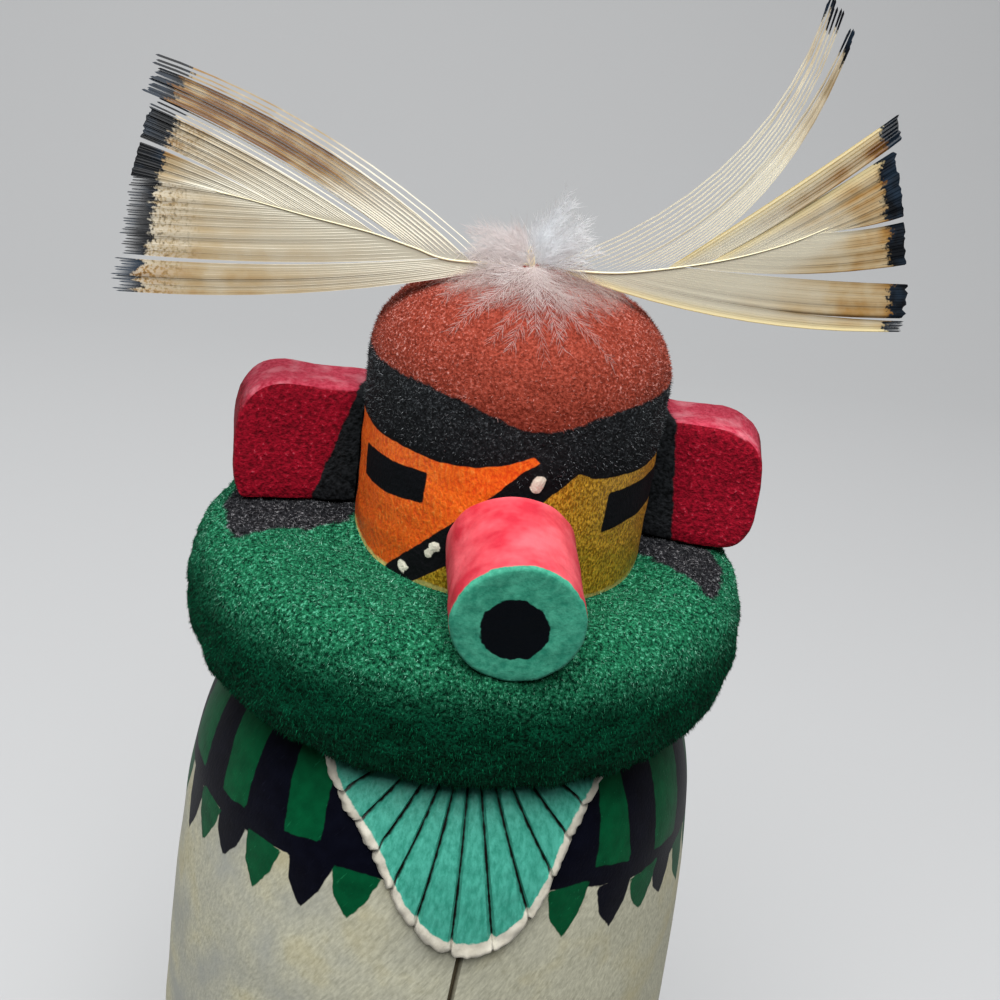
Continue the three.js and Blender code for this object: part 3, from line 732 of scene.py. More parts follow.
# The bright yellow in the crinkles is painted glints on the metallic gold
crinkle_glints = add(tree, "MapRange", {"Value": crinkle_glints, "From Min": 0.42, "From Max": 0.6})
gold = coats(tree, "#A0700C", (crinkle_glints, "#F6C03A"))
in_orange, in_gold, in_eyes, in_dots, in_rust, at_foot = (
    mask(tree, name, soft, wobble, reach)
    for name, soft, reach in [("orange", 0.06, 0.18), ("gold", 0.06, 0.18), ("eyes", 0.06, 0.15),
                              ("dots", 0.05, 0.25), ("rust", 0.12, 0.5), ("foot", 0.15, 0.5)])
front = joined(tree, "MAXIMUM", in_orange, in_gold)
foot_line = joined(tree, "MULTIPLY", at_foot, front)
colour = coats(tree, "#08090D", (band, thick_black), (in_orange, orange), (in_gold, gold),
               (in_eyes, "#07090F"), (in_dots, "#E6E1CE"), (in_rust, rust), (foot_line, "#E0C878"))
unmarked = joined(tree, "SUBTRACT", 1.0, joined(tree, "MAXIMUM", in_eyes, in_dots))
metal = joined(tree, "MULTIPLY", in_gold, unmarked, 0.45)
shiny = joined(tree, "MULTIPLY", front, unmarked)
gloss = add(tree, "MapRange", {"Value": shiny, "To Min": 0.85, "To Max": 0.36})
shine = add(tree, "MapRange", {"Value": shiny, "To Min": 0.15, "To Max": 0.5})
flocked = joined(tree, "MAXIMUM", band, in_rust)
relief = add(tree, "Mix", {0: flocked, 2: streak, 3: crumb}, data_type="FLOAT")
surface(tree, colour, {"Roughness": gloss, "Metallic": metal, "Specular IOR Level": shine}, relief, 0.3, 0.9)

# Turquoise brushed along the lobes, black-brown in the grooves, and lumpy bone white along the rim
tree = pendant_tree
spot = add(tree, "TexCoord", out="Object")
strokes = add(tree, "Mapping", {"Vector": spot, "Scale": (1, 1, 0.3)})
brush = add(tree, "TexNoise", {"Vector": strokes, "Scale": per(0.55), "Detail": 4.0, "Roughness": 0.6})
wobble = add(tree, "TexNoise", {"Vector": spot, "Scale": per(1.1), "Detail": 2.0})
lit_side = add(tree, "MapRange", {"Value": brush, "From Min": 0.36, "From Max": 0.64})
in_rim = mask(tree, "rim", 0.1, wobble, 0.35)
to_line = add(tree, "Attribute", out="Fac", attribute_name="to_groove")
to_line = add(tree, "Math", {0: wobble, 1: 0.3, 2: to_line}, operation="MULTIPLY_ADD")
in_line = add(tree, "MapRange", {"Value": to_line, "From Min": 0.34, "From Max": 0.22})
half_line = add(tree, "MapRange", {"Value": in_rim, "To Min": 1.0, "To Max": 0.55})
colour = coats(tree, "#31907B", (lit_side, "#4CAE99"), (in_rim, coats(tree, "#B5AE9C", (wobble, "#DEDACC"))),
               (joined(tree, "MULTIPLY", in_line, half_line), "#140E0A"))
surface(tree, colour, {"Roughness": 0.55, "Specular IOR Level": 0.35}, brush, 0.14, 0.9)

# Thin red-brown paint on the legs and moccasins, over wood that shows through
tree = shoe_tree
spot = add(tree, "TexCoord", out="Object")
brush = add(tree, "TexNoise", {"Vector": spot, "Scale": per(1.5), "Detail": 4.0})
surface(tree, coats(tree, "#5A2A1A", (brush, "#8A4A2E")), {"Roughness": 0.65}, brush, 0.1, 0.6)

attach(figure, "root")
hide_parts("carved_figure")

# Sawdust fibres: they stand out of the wet paint on the ruff, the crown and the black band, stirred
# every way on top and stroked down on the ruff's outer side. Each is a short thin spike of wood.
RUFF_FIBRES = 48000
RUFF_FIBRE = (0.5, 0.055)
HEAD_FIBRES = 26000
HEAD_FIBRE = (0.42, 0.045)


def build(name, parts, materials):
    """One piece from several sets of corners and faces; each part is a dictionary with its marks."""
    corners, faces, slots = [], [], []
    marks = {key: [] for key in parts[0]["marks"]}
    start = 0
    for part in parts:
        corners.append(part["corners"])
        faces.append(part["faces"] + start)
        slots.append(np.full(len(part["faces"]), part["slot"]))
        for key in marks:
            marks[key].append(np.broadcast_to(part["marks"][key], len(part["corners"])))
        start += len(part["corners"])
    mesh = bpy.data.meshes.new(name)
    mesh.from_pydata(np.concatenate(corners) * MM, [], np.concatenate(faces).tolist())
    piece = bpy.data.objects.new(name, mesh)
    bpy.context.scene.collection.objects.link(piece)
    for material in materials:
        mesh.materials.append(material)
    mesh.polygons.foreach_set("material_index", np.concatenate(slots).astype(np.int32))
    for key, values in marks.items():
        note(piece, key, np.concatenate(values))
    edit(piece, lambda: bpy.ops.mesh.normals_make_consistent(inside=False))
    smooth(piece, 60)
    return piece


def read(piece, name):
    """The numbers that were noted on each corner of a piece."""
    return gathered(piece.data.attributes[name].data, "value")


def fibres(name, chosen, count, size, mark_name, paint, seed):
    """Spikes spread evenly over the chosen triangles of the figure, with the mark of their places.
    A size is a spike's length and half its thickness."""
    chance = np.random.default_rng(seed)
    long, thick = size
    at, out = places(figure), normals(figure)
    three = triangles[chosen]
    weight = areas[chosen] * np.where(at[three].mean(axis=1)[:, 1] < 6, 1, 0.35)
    picked = three[chance.choice(len(three), count, p=weight / weight.sum())]
    share = np.sqrt(chance.uniform(0, 1, (count, 2)))
    over_one, over_two = share[:, 0], share[:, 1] ** 2
    part = np.column_stack([1 - over_one, over_one * (1 - over_two), over_one * over_two])
    foot = (at[picked] * part[..., None]).sum(axis=1)
    normal = (out[picked] * part[..., None]).sum(axis=1)
    outer = np.clip((np.hypot(foot[:, 0], foot[:, 1] / OVAL) - 31) / 4, 0, 1)[:, None]
    heading = normal * chance.uniform(0.15, 0.7, (count, 1))
    heading = heading + chance.normal(0, 0.55, (count, 3)) * (1 - 0.6 * outer)
    heading = heading - np.array([0, 0, 0.8]) * outer
    heading = heading - normal * np.minimum((heading * normal).sum(axis=1) - 0.2, 0)[:, None]
    heading /= np.linalg.norm(heading, axis=1, keepdims=True)
    sideways = np.cross(heading, chance.normal(0, 1, (count, 3)))
    sideways /= np.linalg.norm(sideways, axis=1, keepdims=True)
    other = np.cross(heading, sideways)
    size = thick * chance.uniform(0.6, 1.3, (count, 1))
    ring = [foot - 0.08 * normal + size * (math.cos(a) * sideways + math.sin(a) * other)
            for a in (0, 2.1, 4.2)]
    tip = foot + heading * long * chance.uniform(0.5, 1.2, (count, 1))
    corners = np.stack([*ring, tip], axis=1)
    spike = np.array([(0, 2, 1), (0, 1, 3), (1, 2, 3), (2, 0, 3)])
    faces = (spike[None] + 4 * np.arange(count)[:, None, None]).reshape(-1, 3)
    marks = {mark_name: np.repeat((read(figure, mark_name)[picked] * part).sum(axis=1), 4)}
    marks["shade"] = np.repeat(chance.uniform(0, 1, count), 4)
    spikes = {"corners": corners.reshape(-1, 3), "faces": faces, "slot": 0, "marks": marks}
    piece = build(name, [spikes], [paint])
    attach(piece, "root")


def shades(tree, *codes):
    """Each fibre takes one colour from a row of them."""
    ramp = add(tree, "ValToRGB", {"Fac": add(tree, "Attribute", out="Fac", attribute_name="shade")})
    stops = ramp.node.color_ramp.elements
    stops[0].color, stops[1].color = linear(codes[0]), linear(codes[-1])
    for number, code in enumerate(codes[1:-1], 1):
        stops.new(number / (len(codes) - 1)).color = linear(code)
    return ramp


# Fibres under the ruff's paint: green, painted darker below as shade, and grey in the patches; all dull
ruff_fibre_paint, tree = new_material("green sawdust fibres, painted over")
green = shades(tree, "#04271A", "#155038", "#277252", "#358663", "#8CC6AD")
shaded_green = shades(tree, "#00120A", "#012C1B", "#034229", "#075236", "#0E6844")
grey = shades(tree, "#0B0C0E", "#1E1F22", "#2F3033", "#3C3D40", "#8A8A8C")
colour = coats(tree, green, (ruff_low_painted_shade(tree), shaded_green), (mask(tree, "patch", 0.3), grey))
surface(tree, colour, {"Roughness": 0.95, "Specular IOR Level": 0.06})

# Fibres under the head's paint: rust on the crown and charcoal on the band
head_fibre_paint, tree = new_material("rust and charcoal sawdust fibres, painted over")
charcoal = shades(tree, "#0B0C0E", "#202326", "#34373A", "#44474A", "#8B8F92")
rust = shades(tree, "#541A11", "#853626", "#A04937", "#AE5644", "#D79F95")
colour = coats(tree, charcoal, (mask(tree, "rust", 0.2), rust))
surface(tree, colour, {"Roughness": 0.95, "Specular IOR Level": 0.06})

figure.data.calc_loop_triangles()
triangles = gathered(figure.data.loop_triangles, "vertices", 3, np.int32)
areas = gathered(figure.data.loop_triangles, "area")
slots = gathered(figure.data.loop_triangles, "material_index", kind=np.int32)
painted_face = np.maximum(read(figure, "orange"), read(figure, "gold"))[triangles].max(axis=1)
on_band = (painted_face < -0.3) & (above[triangles].mean(axis=1) > 24)
on_crown = (slots == 2) & ((read(figure, "rust")[triangles].min(axis=1) > 0) | on_band)
near_dots = read(figure, "dots")[triangles].max(axis=1) > -0.5
fibres("ruff_sawdust_fibres", slots == 1, RUFF_FIBRES, RUFF_FIBRE, "patch", ruff_fibre_paint, 21)
fibres("crown_sawdust_fibres", on_crown & ~near_dots, HEAD_FIBRES, HEAD_FIBRE, "rust", head_fibre_paint, 22)

# Snout: a stub of dowel glued to the face and bedded in the ruff, sawn square and eased at its edge.
# Pink-red round the side, with a turquoise muzzle and a flat black disc painted on it.
SNOUT_LENGTH = 14.7
SNOUT_RADIUS = 7.6
MUZZLE_RADIUS = 7.3
SNOUT_EDGE = 0.45
SNOUT_HEIGHT = 15.4
SNOUT_TILT = 3
SNOUT_BED = 4
DISC_RADIUS = 3.75
DISC_SHIFT = (-0.4, 0.5)

tilt = math.radians(SNOUT_TILT)
snout_axis = np.array([0, -math.cos(tilt), -math.sin(tilt)])
snout_side = np.array([1.0, 0, 0])
snout_up = np.cross(snout_axis, snout_side)
snout_start = np.array([HEAD_LEFT, SNOUT_BED - HEAD_RADIUS - HEAD_FORWARD, ruff_level + SNOUT_HEIGHT])
snout_turn = np.linspace(0, 2 * np.pi, 97)


def snout_ring(size, along):
    """One ring round the snout's axis, at a distance or distances along it."""
    out = size * (np.cos(snout_turn)[:, None] * snout_side + np.sin(snout_turn)[:, None] * snout_up)
    return snout_start + out + np.reshape(along * np.ones(len(snout_turn)), (-1, 1)) * snout_axis


def snout_root(size):
    """How far along the axis the head's round face lies, with the glue's thickness."""
    away = size * np.cos(snout_turn)
    return np.sqrt((HEAD_RADIUS + GAP) ** 2 - away**2) - (HEAD_RADIUS - SNOUT_BED)


whole = SNOUT_LENGTH + SNOUT_BED
rings = [snout_ring(size, snout_root(size)) for size in (0, 2.5, 5, SNOUT_RADIUS)]
for share in np.linspace(0, 1, 30)[1:]:
    size = SNOUT_RADIUS + (MUZZLE_RADIUS - SNOUT_RADIUS) * share
    root_at = snout_root(SNOUT_RADIUS)
    rings.append(snout_ring(size, root_at + (whole - SNOUT_EDGE - root_at) * share))
for bend in (0.35, 0.7, 1):
    turn_in = bend * np.pi / 2
    rings.append(snout_ring(MUZZLE_RADIUS - SNOUT_EDGE * (1 - math.cos(turn_in)),
                            whole - SNOUT_EDGE * (1 - math.sin(turn_in))))
for size in np.linspace(MUZZLE_RADIUS - SNOUT_EDGE, 0, 17)[1:]:
    rings.append(snout_ring(size, whole))
snout = wrap("dowel_snout", rings)
from_start = places(snout) - snout_start
along = from_start @ snout_axis
note(snout, "from_muzzle", whole - along)
from_disc = from_start - snout_side * DISC_SHIFT[0] + snout_up * DISC_SHIFT[1]
note(snout, "disc", DISC_RADIUS - np.linalg.norm(from_disc - along[:, None] * snout_axis, axis=1))
roughen(snout, along < whole + 1, 0.12, 2.2)
roughen(snout, along < whole + 1, 0.2, 9)
smooth(snout, 50)

# Acrylic brushed on the dowel: pink-red in soft clouds, turquoise in short strokes, flat black
snout_paint, tree = new_material("acrylic paint on dowel, brushed")
spot = add(tree, "TexCoord", out="Object")
cloud = add(tree, "TexNoise", {"Vector": spot, "Scale": per(5), "Detail": 3.0, "Roughness": 0.55})
stroke = add(tree, "TexNoise", {"Vector": spot, "Scale": per(0.9), "Detail": 4.0, "Roughness": 0.65})
wobble = add(tree, "TexNoise", {"Vector": spot, "Scale": per(1.5), "Detail": 2.0})
soft, lit_side = (add(tree, "MapRange", {"Value": value, "From Min": 0.35, "From Max": 0.65})
                  for value in (cloud, stroke))
muzzle = add(tree, "Attribute", out="Fac", attribute_name="from_muzzle")
muzzle = add(tree, "Math", {0: wobble, 1: 0.8, 2: muzzle}, operation="MULTIPLY_ADD")
on_muzzle = add(tree, "MapRange", {"Value": muzzle, "From Min": 0.95, "From Max": 0.75})
on_disc = joined(tree, "MULTIPLY", mask(tree, "disc", 0.07, wobble, 0.5), on_muzzle)
colour = coats(tree, "#C42F3F", (soft, "#E8636C"), (on_muzzle, coats(tree, "#2E8A70", (lit_side, "#4FAE90"))),
               (on_disc, "#02060C"))
surface(tree, colour, {"Roughness": 0.6, "Specular IOR Level": 0.15}, stroke, 0.15, 0.7)
snout.data.materials.append(snout_paint)
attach(snout, "root")
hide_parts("snout")

# Ears: rounded tabs of wood, crisp in front and eased behind, glued to the head's sides and the
# ruff's top. Dark red all over, paler on top faces as a painted highlight with dusty paint, with a black
# wedge next to the head.
EAR_THICKNESS = 10
EAR_EDGE = 0.5
EAR_BACK_ROUND = 2

# Red and charcoal paint with sawdust in it: dull and crumbly, paler on top faces, where a highlight is
# painted over dusty paint
ear_paint, tree = new_material("dark red and charcoal paint thick with sawdust, stippled")
spot = add(tree, "TexCoord", out="Object")
crumb = add(tree, "TexNoise", {"Vector": spot, "Scale": per(0.55), "Detail": 3.0, "Roughness": 0.6})
cloud = add(tree, "TexNoise", {"Vector": spot, "Scale": per(3), "Detail": 3.0})
wobble = add(tree, "TexNoise", {"Vector": spot, "Scale": per(1.4), "Detail": 2.0})
pits = add(tree, "MapRange", {"Value": crumb, "From Min": 0.36, "From Max": 0.62})
specks = add(tree, "MapRange", {"Value": crumb, "From Min": 0.64, "From Max": 0.72})
paler_clouds = add(tree, "MapRange", {"Value": cloud, "From Min": 0.5, "From Max": 0.7})
pale = coats(tree, "#B02C42", (pits, "#CC4A5E"), (paler_clouds, "#D87A86"))
facing = add(tree, "SeparateXYZ", {0: add(tree, "NewGeometry", out="Normal")}, "Z")
facing = add(tree, "Math", {0: wobble, 1: 0.35, 2: facing}, operation="MULTIPLY_ADD")
# Top faces get the pale coat: a painted highlight, and dusty paint
painted_light_mask = add(tree, "MapRange", {"Value": facing, "From Min": 0.55, "From Max": 0.8})
charcoal = coats(tree, "#08090B", (pits, "#26282B"))
colour = coats(tree, "#6E0718", (pits, "#A90F29"), (specks, "#C44A5A"), (painted_light_mask, pale),
               (mask(tree, "wedge", 0.12, wobble, 0.5), charcoal))
surface(tree, colour, {"Roughness": 0.7, "Specular IOR Level": 0.12}, crumb, 0.3, 0.9)


def bend(start, pull, end):
    """Points along a curve that leaves towards a pull point and arrives from it."""
    share = np.linspace(0, 1, 13)[:, None]
    start, pull, end = (np.array(point, float) for point in (start, pull, end))
    return (1 - share) ** 2 * start + 2 * share * (1 - share) * pull + share**2 * end


def ear(name, node, side, form, wedge):
    """Ear for the doll's right (-1) or left (1); a wedge is its width at the top and at the foot."""
    rise, inner, outer = form["height"], HEAD_RADIUS * 0.8, HEAD_RADIUS + form["reach"]
    shoulder = (outer - rise * 0.4, rise + form["arch"])
    outline = np.concatenate([
        spaced([(inner, 0), (outer - form["heel"], 0)], 1),
        bend((outer - form["heel"], 0), (outer, 0), (outer, rise * 0.35))[1:],
        bend((outer, rise * 0.5), (outer, rise + form["arch"]), shoulder),
        spaced([shoulder, (inner, rise)], 1)[1:],
        spaced([(inner, rise), (inner, 0)], 1.5)[1:],
    ])
    centre = np.array([HEAD_RADIUS + form["reach"] / 2, rise / 2])
    layers = [(0, centre[1]), (0, 5), (0, 2), (0, EAR_EDGE), (EAR_EDGE * 0.3, EAR_EDGE * 0.3), (EAR_EDGE, 0),
              (2.5, 0), (5, 0), (EAR_THICKNESS - EAR_BACK_ROUND, 0)]
    layers += [(EAR_THICKNESS - EAR_BACK_ROUND * (1 - math.sin(a)), EAR_BACK_ROUND * (1 - math.cos(a)))
               for a in np.radians([20, 40, 60, 75, 90])]
    layers += [(EAR_THICKNESS, 5), (EAR_THICKNESS, centre[1])]
    rows = []
    for depth, inset in layers:
        drawn = centre + (outline - centre) * (1 - inset / centre[1])
        rows.append(np.column_stack([side * drawn[:, 0], np.full(len(drawn), depth), drawn[:, 1]]))
    piece = wrap(name, rows)
    piece.data.transform(Matrix.Rotation(math.radians(form["turn"]), 4, "Z"))
    place = Vector((HEAD_LEFT, form["front"] - HEAD_FORWARD, ruff_top + GAP))
    piece.data.transform(Matrix.Translation(place * MM))
    bpy.ops.object.select_all(action="DESELECT")
    bpy.ops.mesh.primitive_cylinder_add(vertices=120, radius=(HEAD_RADIUS + GAP) * MM, depth=0.08,
                                        location=(HEAD_LEFT * MM, -HEAD_FORWARD * MM, ruff_top * MM))
    work(piece, "DIFFERENCE", bpy.context.object)
    roughen(piece, slice(None), 0.25, 5)
    roughen(piece, slice(None), 0.1, 1.2)
    smooth(piece, 40)
    at = places(piece)
    off_head = np.hypot(at[:, 0] - HEAD_LEFT, at[:, 1] + HEAD_FORWARD) - HEAD_RADIUS
    note(piece, "wedge", np.interp(at[:, 2] - ruff_top, [0, rise], wedge[::-1]) - off_head)
    piece.data.materials.clear()
    piece.data.materials.append(ear_paint)
    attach(piece, "root")
    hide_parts(node)


ear("wooden_ear_right", "ear_right", -1,
    {"height": 15.2, "reach": 15.9, "arch": 0.9, "heel": 1.5, "turn": 8, "front": 4.6}, wedge=(1.2, 6))
ear("wooden_ear_left", "ear_left", 1,
    {"height": 16.3, "reach": 14.9, "arch": 0.3, "heel": 4.5, "turn": -12, "front": 4.2}, wedge=(2.2, 4.6))

# Feathers: two small body feathers on thin pale shafts, trimmed square at their ends, so that the
# dark bars become dark tips. They are glued in the crown, leaning back. Barbs lie 0.36 mm apart.
QUILL_HEIGHT = 1.5
QUILL_FORWARD = 2
FEATHER_LEAN = math.radians(15)
BARB_STEPS = np.concatenate([np.linspace(0, 0.93, 11), [0.992, 1]])
BARB_WIDTH = 0.085
FILM_DEPTH = 0.02
TIP_WIDTH = 1.6

quill_foot = np.array([HEAD_LEFT, -HEAD_FORWARD - QUILL_FORWARD, crown_top + QUILL_HEIGHT])


def hang(flat_points, forward=0.0):
    """Points of a feather's own plane, out and up in millimetres, as places on the doll."""
    flat_points = np.asarray(flat_points, float)
    out, rise = flat_points[..., 0], flat_points[..., 1]
    y = rise * math.sin(FEATHER_LEAN) - forward * math.cos(FEATHER_LEAN)
    z = rise * math.cos(FEATHER_LEAN) + forward * math.sin(FEATHER_LEAN)
    return quill_foot + np.stack([out, y, z], axis=-1)


def strands(lines, widths, depths, sides, facing):
    """Corners and faces of many thin closed rods, one along each line; widths and depths are half
    sizes at each level. Each rod comes to a point at both ends."""
    count, levels, _ = lines.shape
    along = np.gradient(lines, axis=1)
    along /= np.linalg.norm(along, axis=2, keepdims=True) + 1e-9
    across = np.cross(along, facing)
    across /= np.linalg.norm(across, axis=2, keepdims=True) + 1e-9
    lift = np.cross(across, along)
    turns = 2 * np.pi * np.arange(sides) / sides
    ring = (np.cos(turns)[:, None] * (across * widths[..., None])[:, :, None, :]
            + np.sin(turns)[:, None] * (lift * depths[..., None])[:, :, None, :])
    inner = (lines[:, :, None, :] + ring)[:, 1:-1].reshape(count, -1, 3)
    corners = np.concatenate([lines[:, :1], inner, lines[:, -1:]], axis=1)
    per_rod = corners.shape[1]
    faces = []
    for side in range(sides):
        after = (side + 1) % sides
        faces.append((0, 1 + after, 1 + side))
        for level in range(levels - 3):
            low = 1 + level * sides
            faces.append((low + side, low + after, low + sides + after))
            faces.append((low + side, low + sides + after, low + sides + side))
        faces.append((per_rod - 1 - sides + side, per_rod - 1 - sides + after, per_rod - 1))
    faces = np.array(faces)[None] + per_rod * np.arange(count)[:, None, None]
    corner_level = np.concatenate([[0], np.repeat(np.arange(1, levels - 1), sides), [levels - 1]])
    corner_rod = np.repeat(np.arange(count), per_rod)
    return corners.reshape(-1, 3), faces.reshape(-1, 3), np.tile(corner_level, count), corner_rod


def film_between(lines, depth, facing):
    """Corners and faces of one thin closed web that spans neighbouring lines."""
    count, levels, _ = lines.shape
    front = (lines + depth * facing).reshape(-1, 3)
    back = (lines - depth * facing).reshape(-1, 3)
    grid = np.arange(count * levels).reshape(count, levels)
    a, b, c, d = grid[:-1, :-1], grid[1:, :-1], grid[1:, 1:], grid[:-1, 1:]
    top = np.concatenate([np.stack([a, b, c], -1).reshape(-1, 3), np.stack([a, c, d], -1).reshape(-1, 3)])
    under = top[:, ::-1] + count * levels
    rim = np.concatenate([grid[:, 0], grid[-1, 1:], grid[-2::-1, -1], grid[0, -2:0:-1]])
    after = np.roll(rim, -1)
    walls = np.concatenate([np.stack([rim, after + count * levels, after], -1),
                            np.stack([rim, rim + count * levels, after + count * levels], -1)])
    return np.concatenate([front, back]), np.concatenate([top, under, walls])


def lengths(lines):
    """For each level of each line, its distance from the line's end."""
    steps = np.linalg.norm(np.diff(lines, axis=1), axis=2)
    travelled = np.concatenate([np.zeros((len(lines), 1)), np.cumsum(steps, axis=1)], axis=1)
    return travelled[:, -1:] - travelled


# What a group of barbs is where its own row doesn't say otherwise
PLAIN_BARBS = dict(lift=0, width=1, ragged=1, browns=(0.45, 0.8), pale=9, frost=0, teeth=99)


def between(pair, share):
    """Points on the straight line from the first of a pair to the second."""
    first, second = np.array(pair)
    return first + (second - first) * share[:, None]


def feather(name, node, shaft, groups, seed):
    """Shaft and barb groups, all in the feather's own plane. A group's barbs leave the shaft between
    two shares of it and end between two tips; each of its two edge barbs bows by its own offset."""
    chance = np.random.default_rng(seed)
    shaft_line = spaced(through(shaft, 200), 0.5)
    share = np.linspace(0, 1, len(shaft_line))
    facing = np.array([0, -math.cos(FEATHER_LEAN), math.sin(FEATHER_LEAN)])
    taper = (0.17 - 0.12 * share**0.8)[None]
    corners, faces, *_ = strands(hang(shaft_line, 0.1)[None], taper, taper * 0.8, 8, facing)
    parts = [{"corners": corners, "faces": faces, "slot": 0,
              "marks": {"brown": 0.0, "clear": 20.0, "shade": 0.5, "frost": 0.0, "pale": 0.0, "web": 1.0}}]
    t = BARB_STEPS[None, :, None]
    steps = BARB_STEPS
    for group in ({**PLAIN_BARBS, **row} for row in groups):
        count = group["count"]
        mix = np.linspace(0, 1, count)
        spread = mix + chance.uniform(-0.3, 0.3, count) / count
        spread[[0, -1]] = 0, 1
        root_share = group["leaves"][0] + (group["leaves"][1] - group["leaves"][0]) * mix
        roots = np.column_stack([np.interp(root_share, share, shaft_line[:, k]) for k in (0, 1)])
        tips = between(group["tips"], spread)
        tips = tips + (tips - roots) * (chance.uniform(-0.018, 0.0, count) * group["ragged"])[:, None]
        middle_pull = (roots + tips) / 2 + 2 * between(group["bows"], spread)
        flat = ((1 - t) ** 2 * roots[:, None] + 2 * t * (1 - t) * middle_pull[:, None] + t**2 * tips[:, None])
        lift = (group["lift"] + chance.uniform(-0.1, 0.1, count)[:, None]) * np.sin(np.pi * steps * 0.6)
        lines = hang(flat, lift)
        left = lengths(lines) - group["black"]
        at_root = 1.3 if group["film"] else 0.55
        width = np.interp(steps, [0, 0.35, 0.7, 1], [at_root, 0.9, 0.9, 0.8]) * BARB_WIDTH * group["width"]
        width = np.where(left < 0, TIP_WIDTH, 1) * width
        corners, faces, level, rod = strands(lines, width, width * 0.7, 3, facing)
        shade = chance.uniform(0, 1, count)
        begins, ends = group["browns"]
        brown = group["tint"] * np.clip((steps - begins) / (ends - begins), 0, 1)
        pale = np.clip(1 - np.abs(mix - group["pale"]) * count / 4, 0, 1)
        parts.append({"corners": corners, "faces": faces, "slot": 1,
                      "marks": {"frost": group["frost"], "web": 1.0, "brown": brown[level],
                                "clear": left[rod, level], "shade": shade[rod], "pale": pale[rod]}})
        if group["film"] > 0:
            corners, faces = film_between(lines, FILM_DEPTH, facing)
            open_tip = np.clip(1 + (left + 0.3) / group["teeth"], 0, 1)
            marks = {"brown": np.tile(brown, count), "clear": left.ravel(),
                     "shade": np.repeat(shade, len(steps)), "pale": np.repeat(pale, len(steps)),
                     "web": group["film"] * open_tip.ravel()}
            both = {key: np.tile(values, 2) for key, values in marks.items()}
            parts.append({"corners": corners, "faces": faces, "slot": 2,
                          "marks": {**both, "frost": group["frost"]}})
    piece = build(name, parts, [shaft_horn, barb_horn, barb_web])
    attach(piece, "root")
    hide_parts(node)


def feather_colours(tree, at_root):
    """Pale at the shaft, tan to brown outwards, black with a painted blue sheen at the trimmed tips; returns
    the colour.
    """
    spot = add(tree, "TexCoord", out="Object")
    brown, clear, shade, frost, pale = (add(tree, "Attribute", out="Fac", attribute_name=name)
                                        for name in ("brown", "clear", "shade", "frost", "pale"))
    cloud = add(tree, "TexNoise", {"Vector": spot, "Scale": per(3.5), "Detail": 3.0})
    fleck = add(tree, "TexNoise", {"Vector": spot, "Scale": per(0.34), "Detail": 2.0})
    streaky = add(tree, "MapRange", {"Value": shade, "To Min": 0.55, "To Max": 1.25})
    patchy = add(tree, "MapRange", {"Value": cloud, "From Min": 0.35, "From Max": 0.65,
                                    "To Min": 0.55, "To Max": 1.2})
    brown = joined(tree, "MULTIPLY", brown, streaky)
    brown = add(tree, "Math", {0: brown, 1: patchy}, operation="MULTIPLY", use_clamp=True)
    ramp = add(tree, "ValToRGB", {"Fac": brown})
    stops = ramp.node.color_ramp.elements
    stops[0].color, stops[1].color = linear(at_root), linear("#8A5C26")
    stops.new(0.4).color = linear("#C8B48E")
    stops.new(0.75).color = linear("#B48C50")
    near_tip = add(tree, "MapRange", {"Value": clear, "From Min": 6.0, "From Max": 0.5, "To Max": 0.8})
    frosty = add(tree, "MapRange", {"Value": fleck, "From Min": 0.46, "From Max": 0.54})
    dark_fleck = add(tree, "MapRange", {"Value": fleck, "From Min": 0.42, "From Max": 0.34})
    frosty, dark_fleck = (joined(tree, "MULTIPLY", value, near_tip, frost) for value in (frosty, dark_fleck))
    edge = add(tree, "Math", {0: fleck, 1: 2.2, 2: clear}, operation="MULTIPLY_ADD")
    edge = joined(tree, "ADD", edge, shade)
    dark = add(tree, "MapRange", {"Value": edge, "From Min": 1.9, "From Max": 1.4})
    # Blue clouds on the black tips: a painted sheen
    blue_sheen = add(tree, "MapRange", {"Value": cloud, "From Min": 0.45, "From Max": 0.65})
    return coats(tree, ramp, (frosty, "#E3DCCB"), (pale, "#EFE2B4"), (dark_fleck, "#4A443E"),
                 (dark, coats(tree, "#0E1218", (blue_sheen, "#26384A"))))


def thin_surface(tree, colour, looks, through, solid=None):
    """Sends a colour to the output as stuff so thin that a share of the light passes through it,
    with open gaps where it isn't solid."""
    body = add(tree, "BsdfPrincipled", {"Base Color": colour, **looks})
    lit = add(tree, "MixShader", {0: through, 1: body, 2: add(tree, "BsdfTranslucent", {"Color": colour})})
    if solid is not None:
        lit = add(tree, "MixShader", {0: solid, 1: add(tree, "BsdfTransparent"), 2: lit})
    add(tree, "OutputMaterial", {"Surface": lit})


# Feather horn, grown: pale yellow and slightly glossy on the shaft, silkier on the barbs
shaft_horn, tree = new_material("feather shaft, pale horn")
spot = add(tree, "TexCoord", out="Object")
fleck = add(tree, "TexNoise", {"Vector": spot, "Scale": per(0.8), "Detail": 2.0})
surface(tree, coats(tree, "#EADDAF", (fleck, "#F7F0D2")), {"Roughness": 0.4, "IOR": 1.54})
barb_horn, tree = new_material("feather barbs, silky")
horn_looks = {"Roughness": 0.5, "IOR": 1.54, "Specular IOR Level": 0.3}
thin_surface(tree, feather_colours(tree, "#FFFBEC"), horn_looks, 0.45)

# Barbules hooked into a web between the barbs: greyer, and letting some light through
barb_web, tree = new_material("feather web of hooked barbules")
web = add(tree, "Attribute", out="Fac", attribute_name="web")
thin_surface(tree, feather_colours(tree, "#CFC9B6"), {"Roughness": 0.7, "Specular IOR Level": 0.2}, 0.35, web)

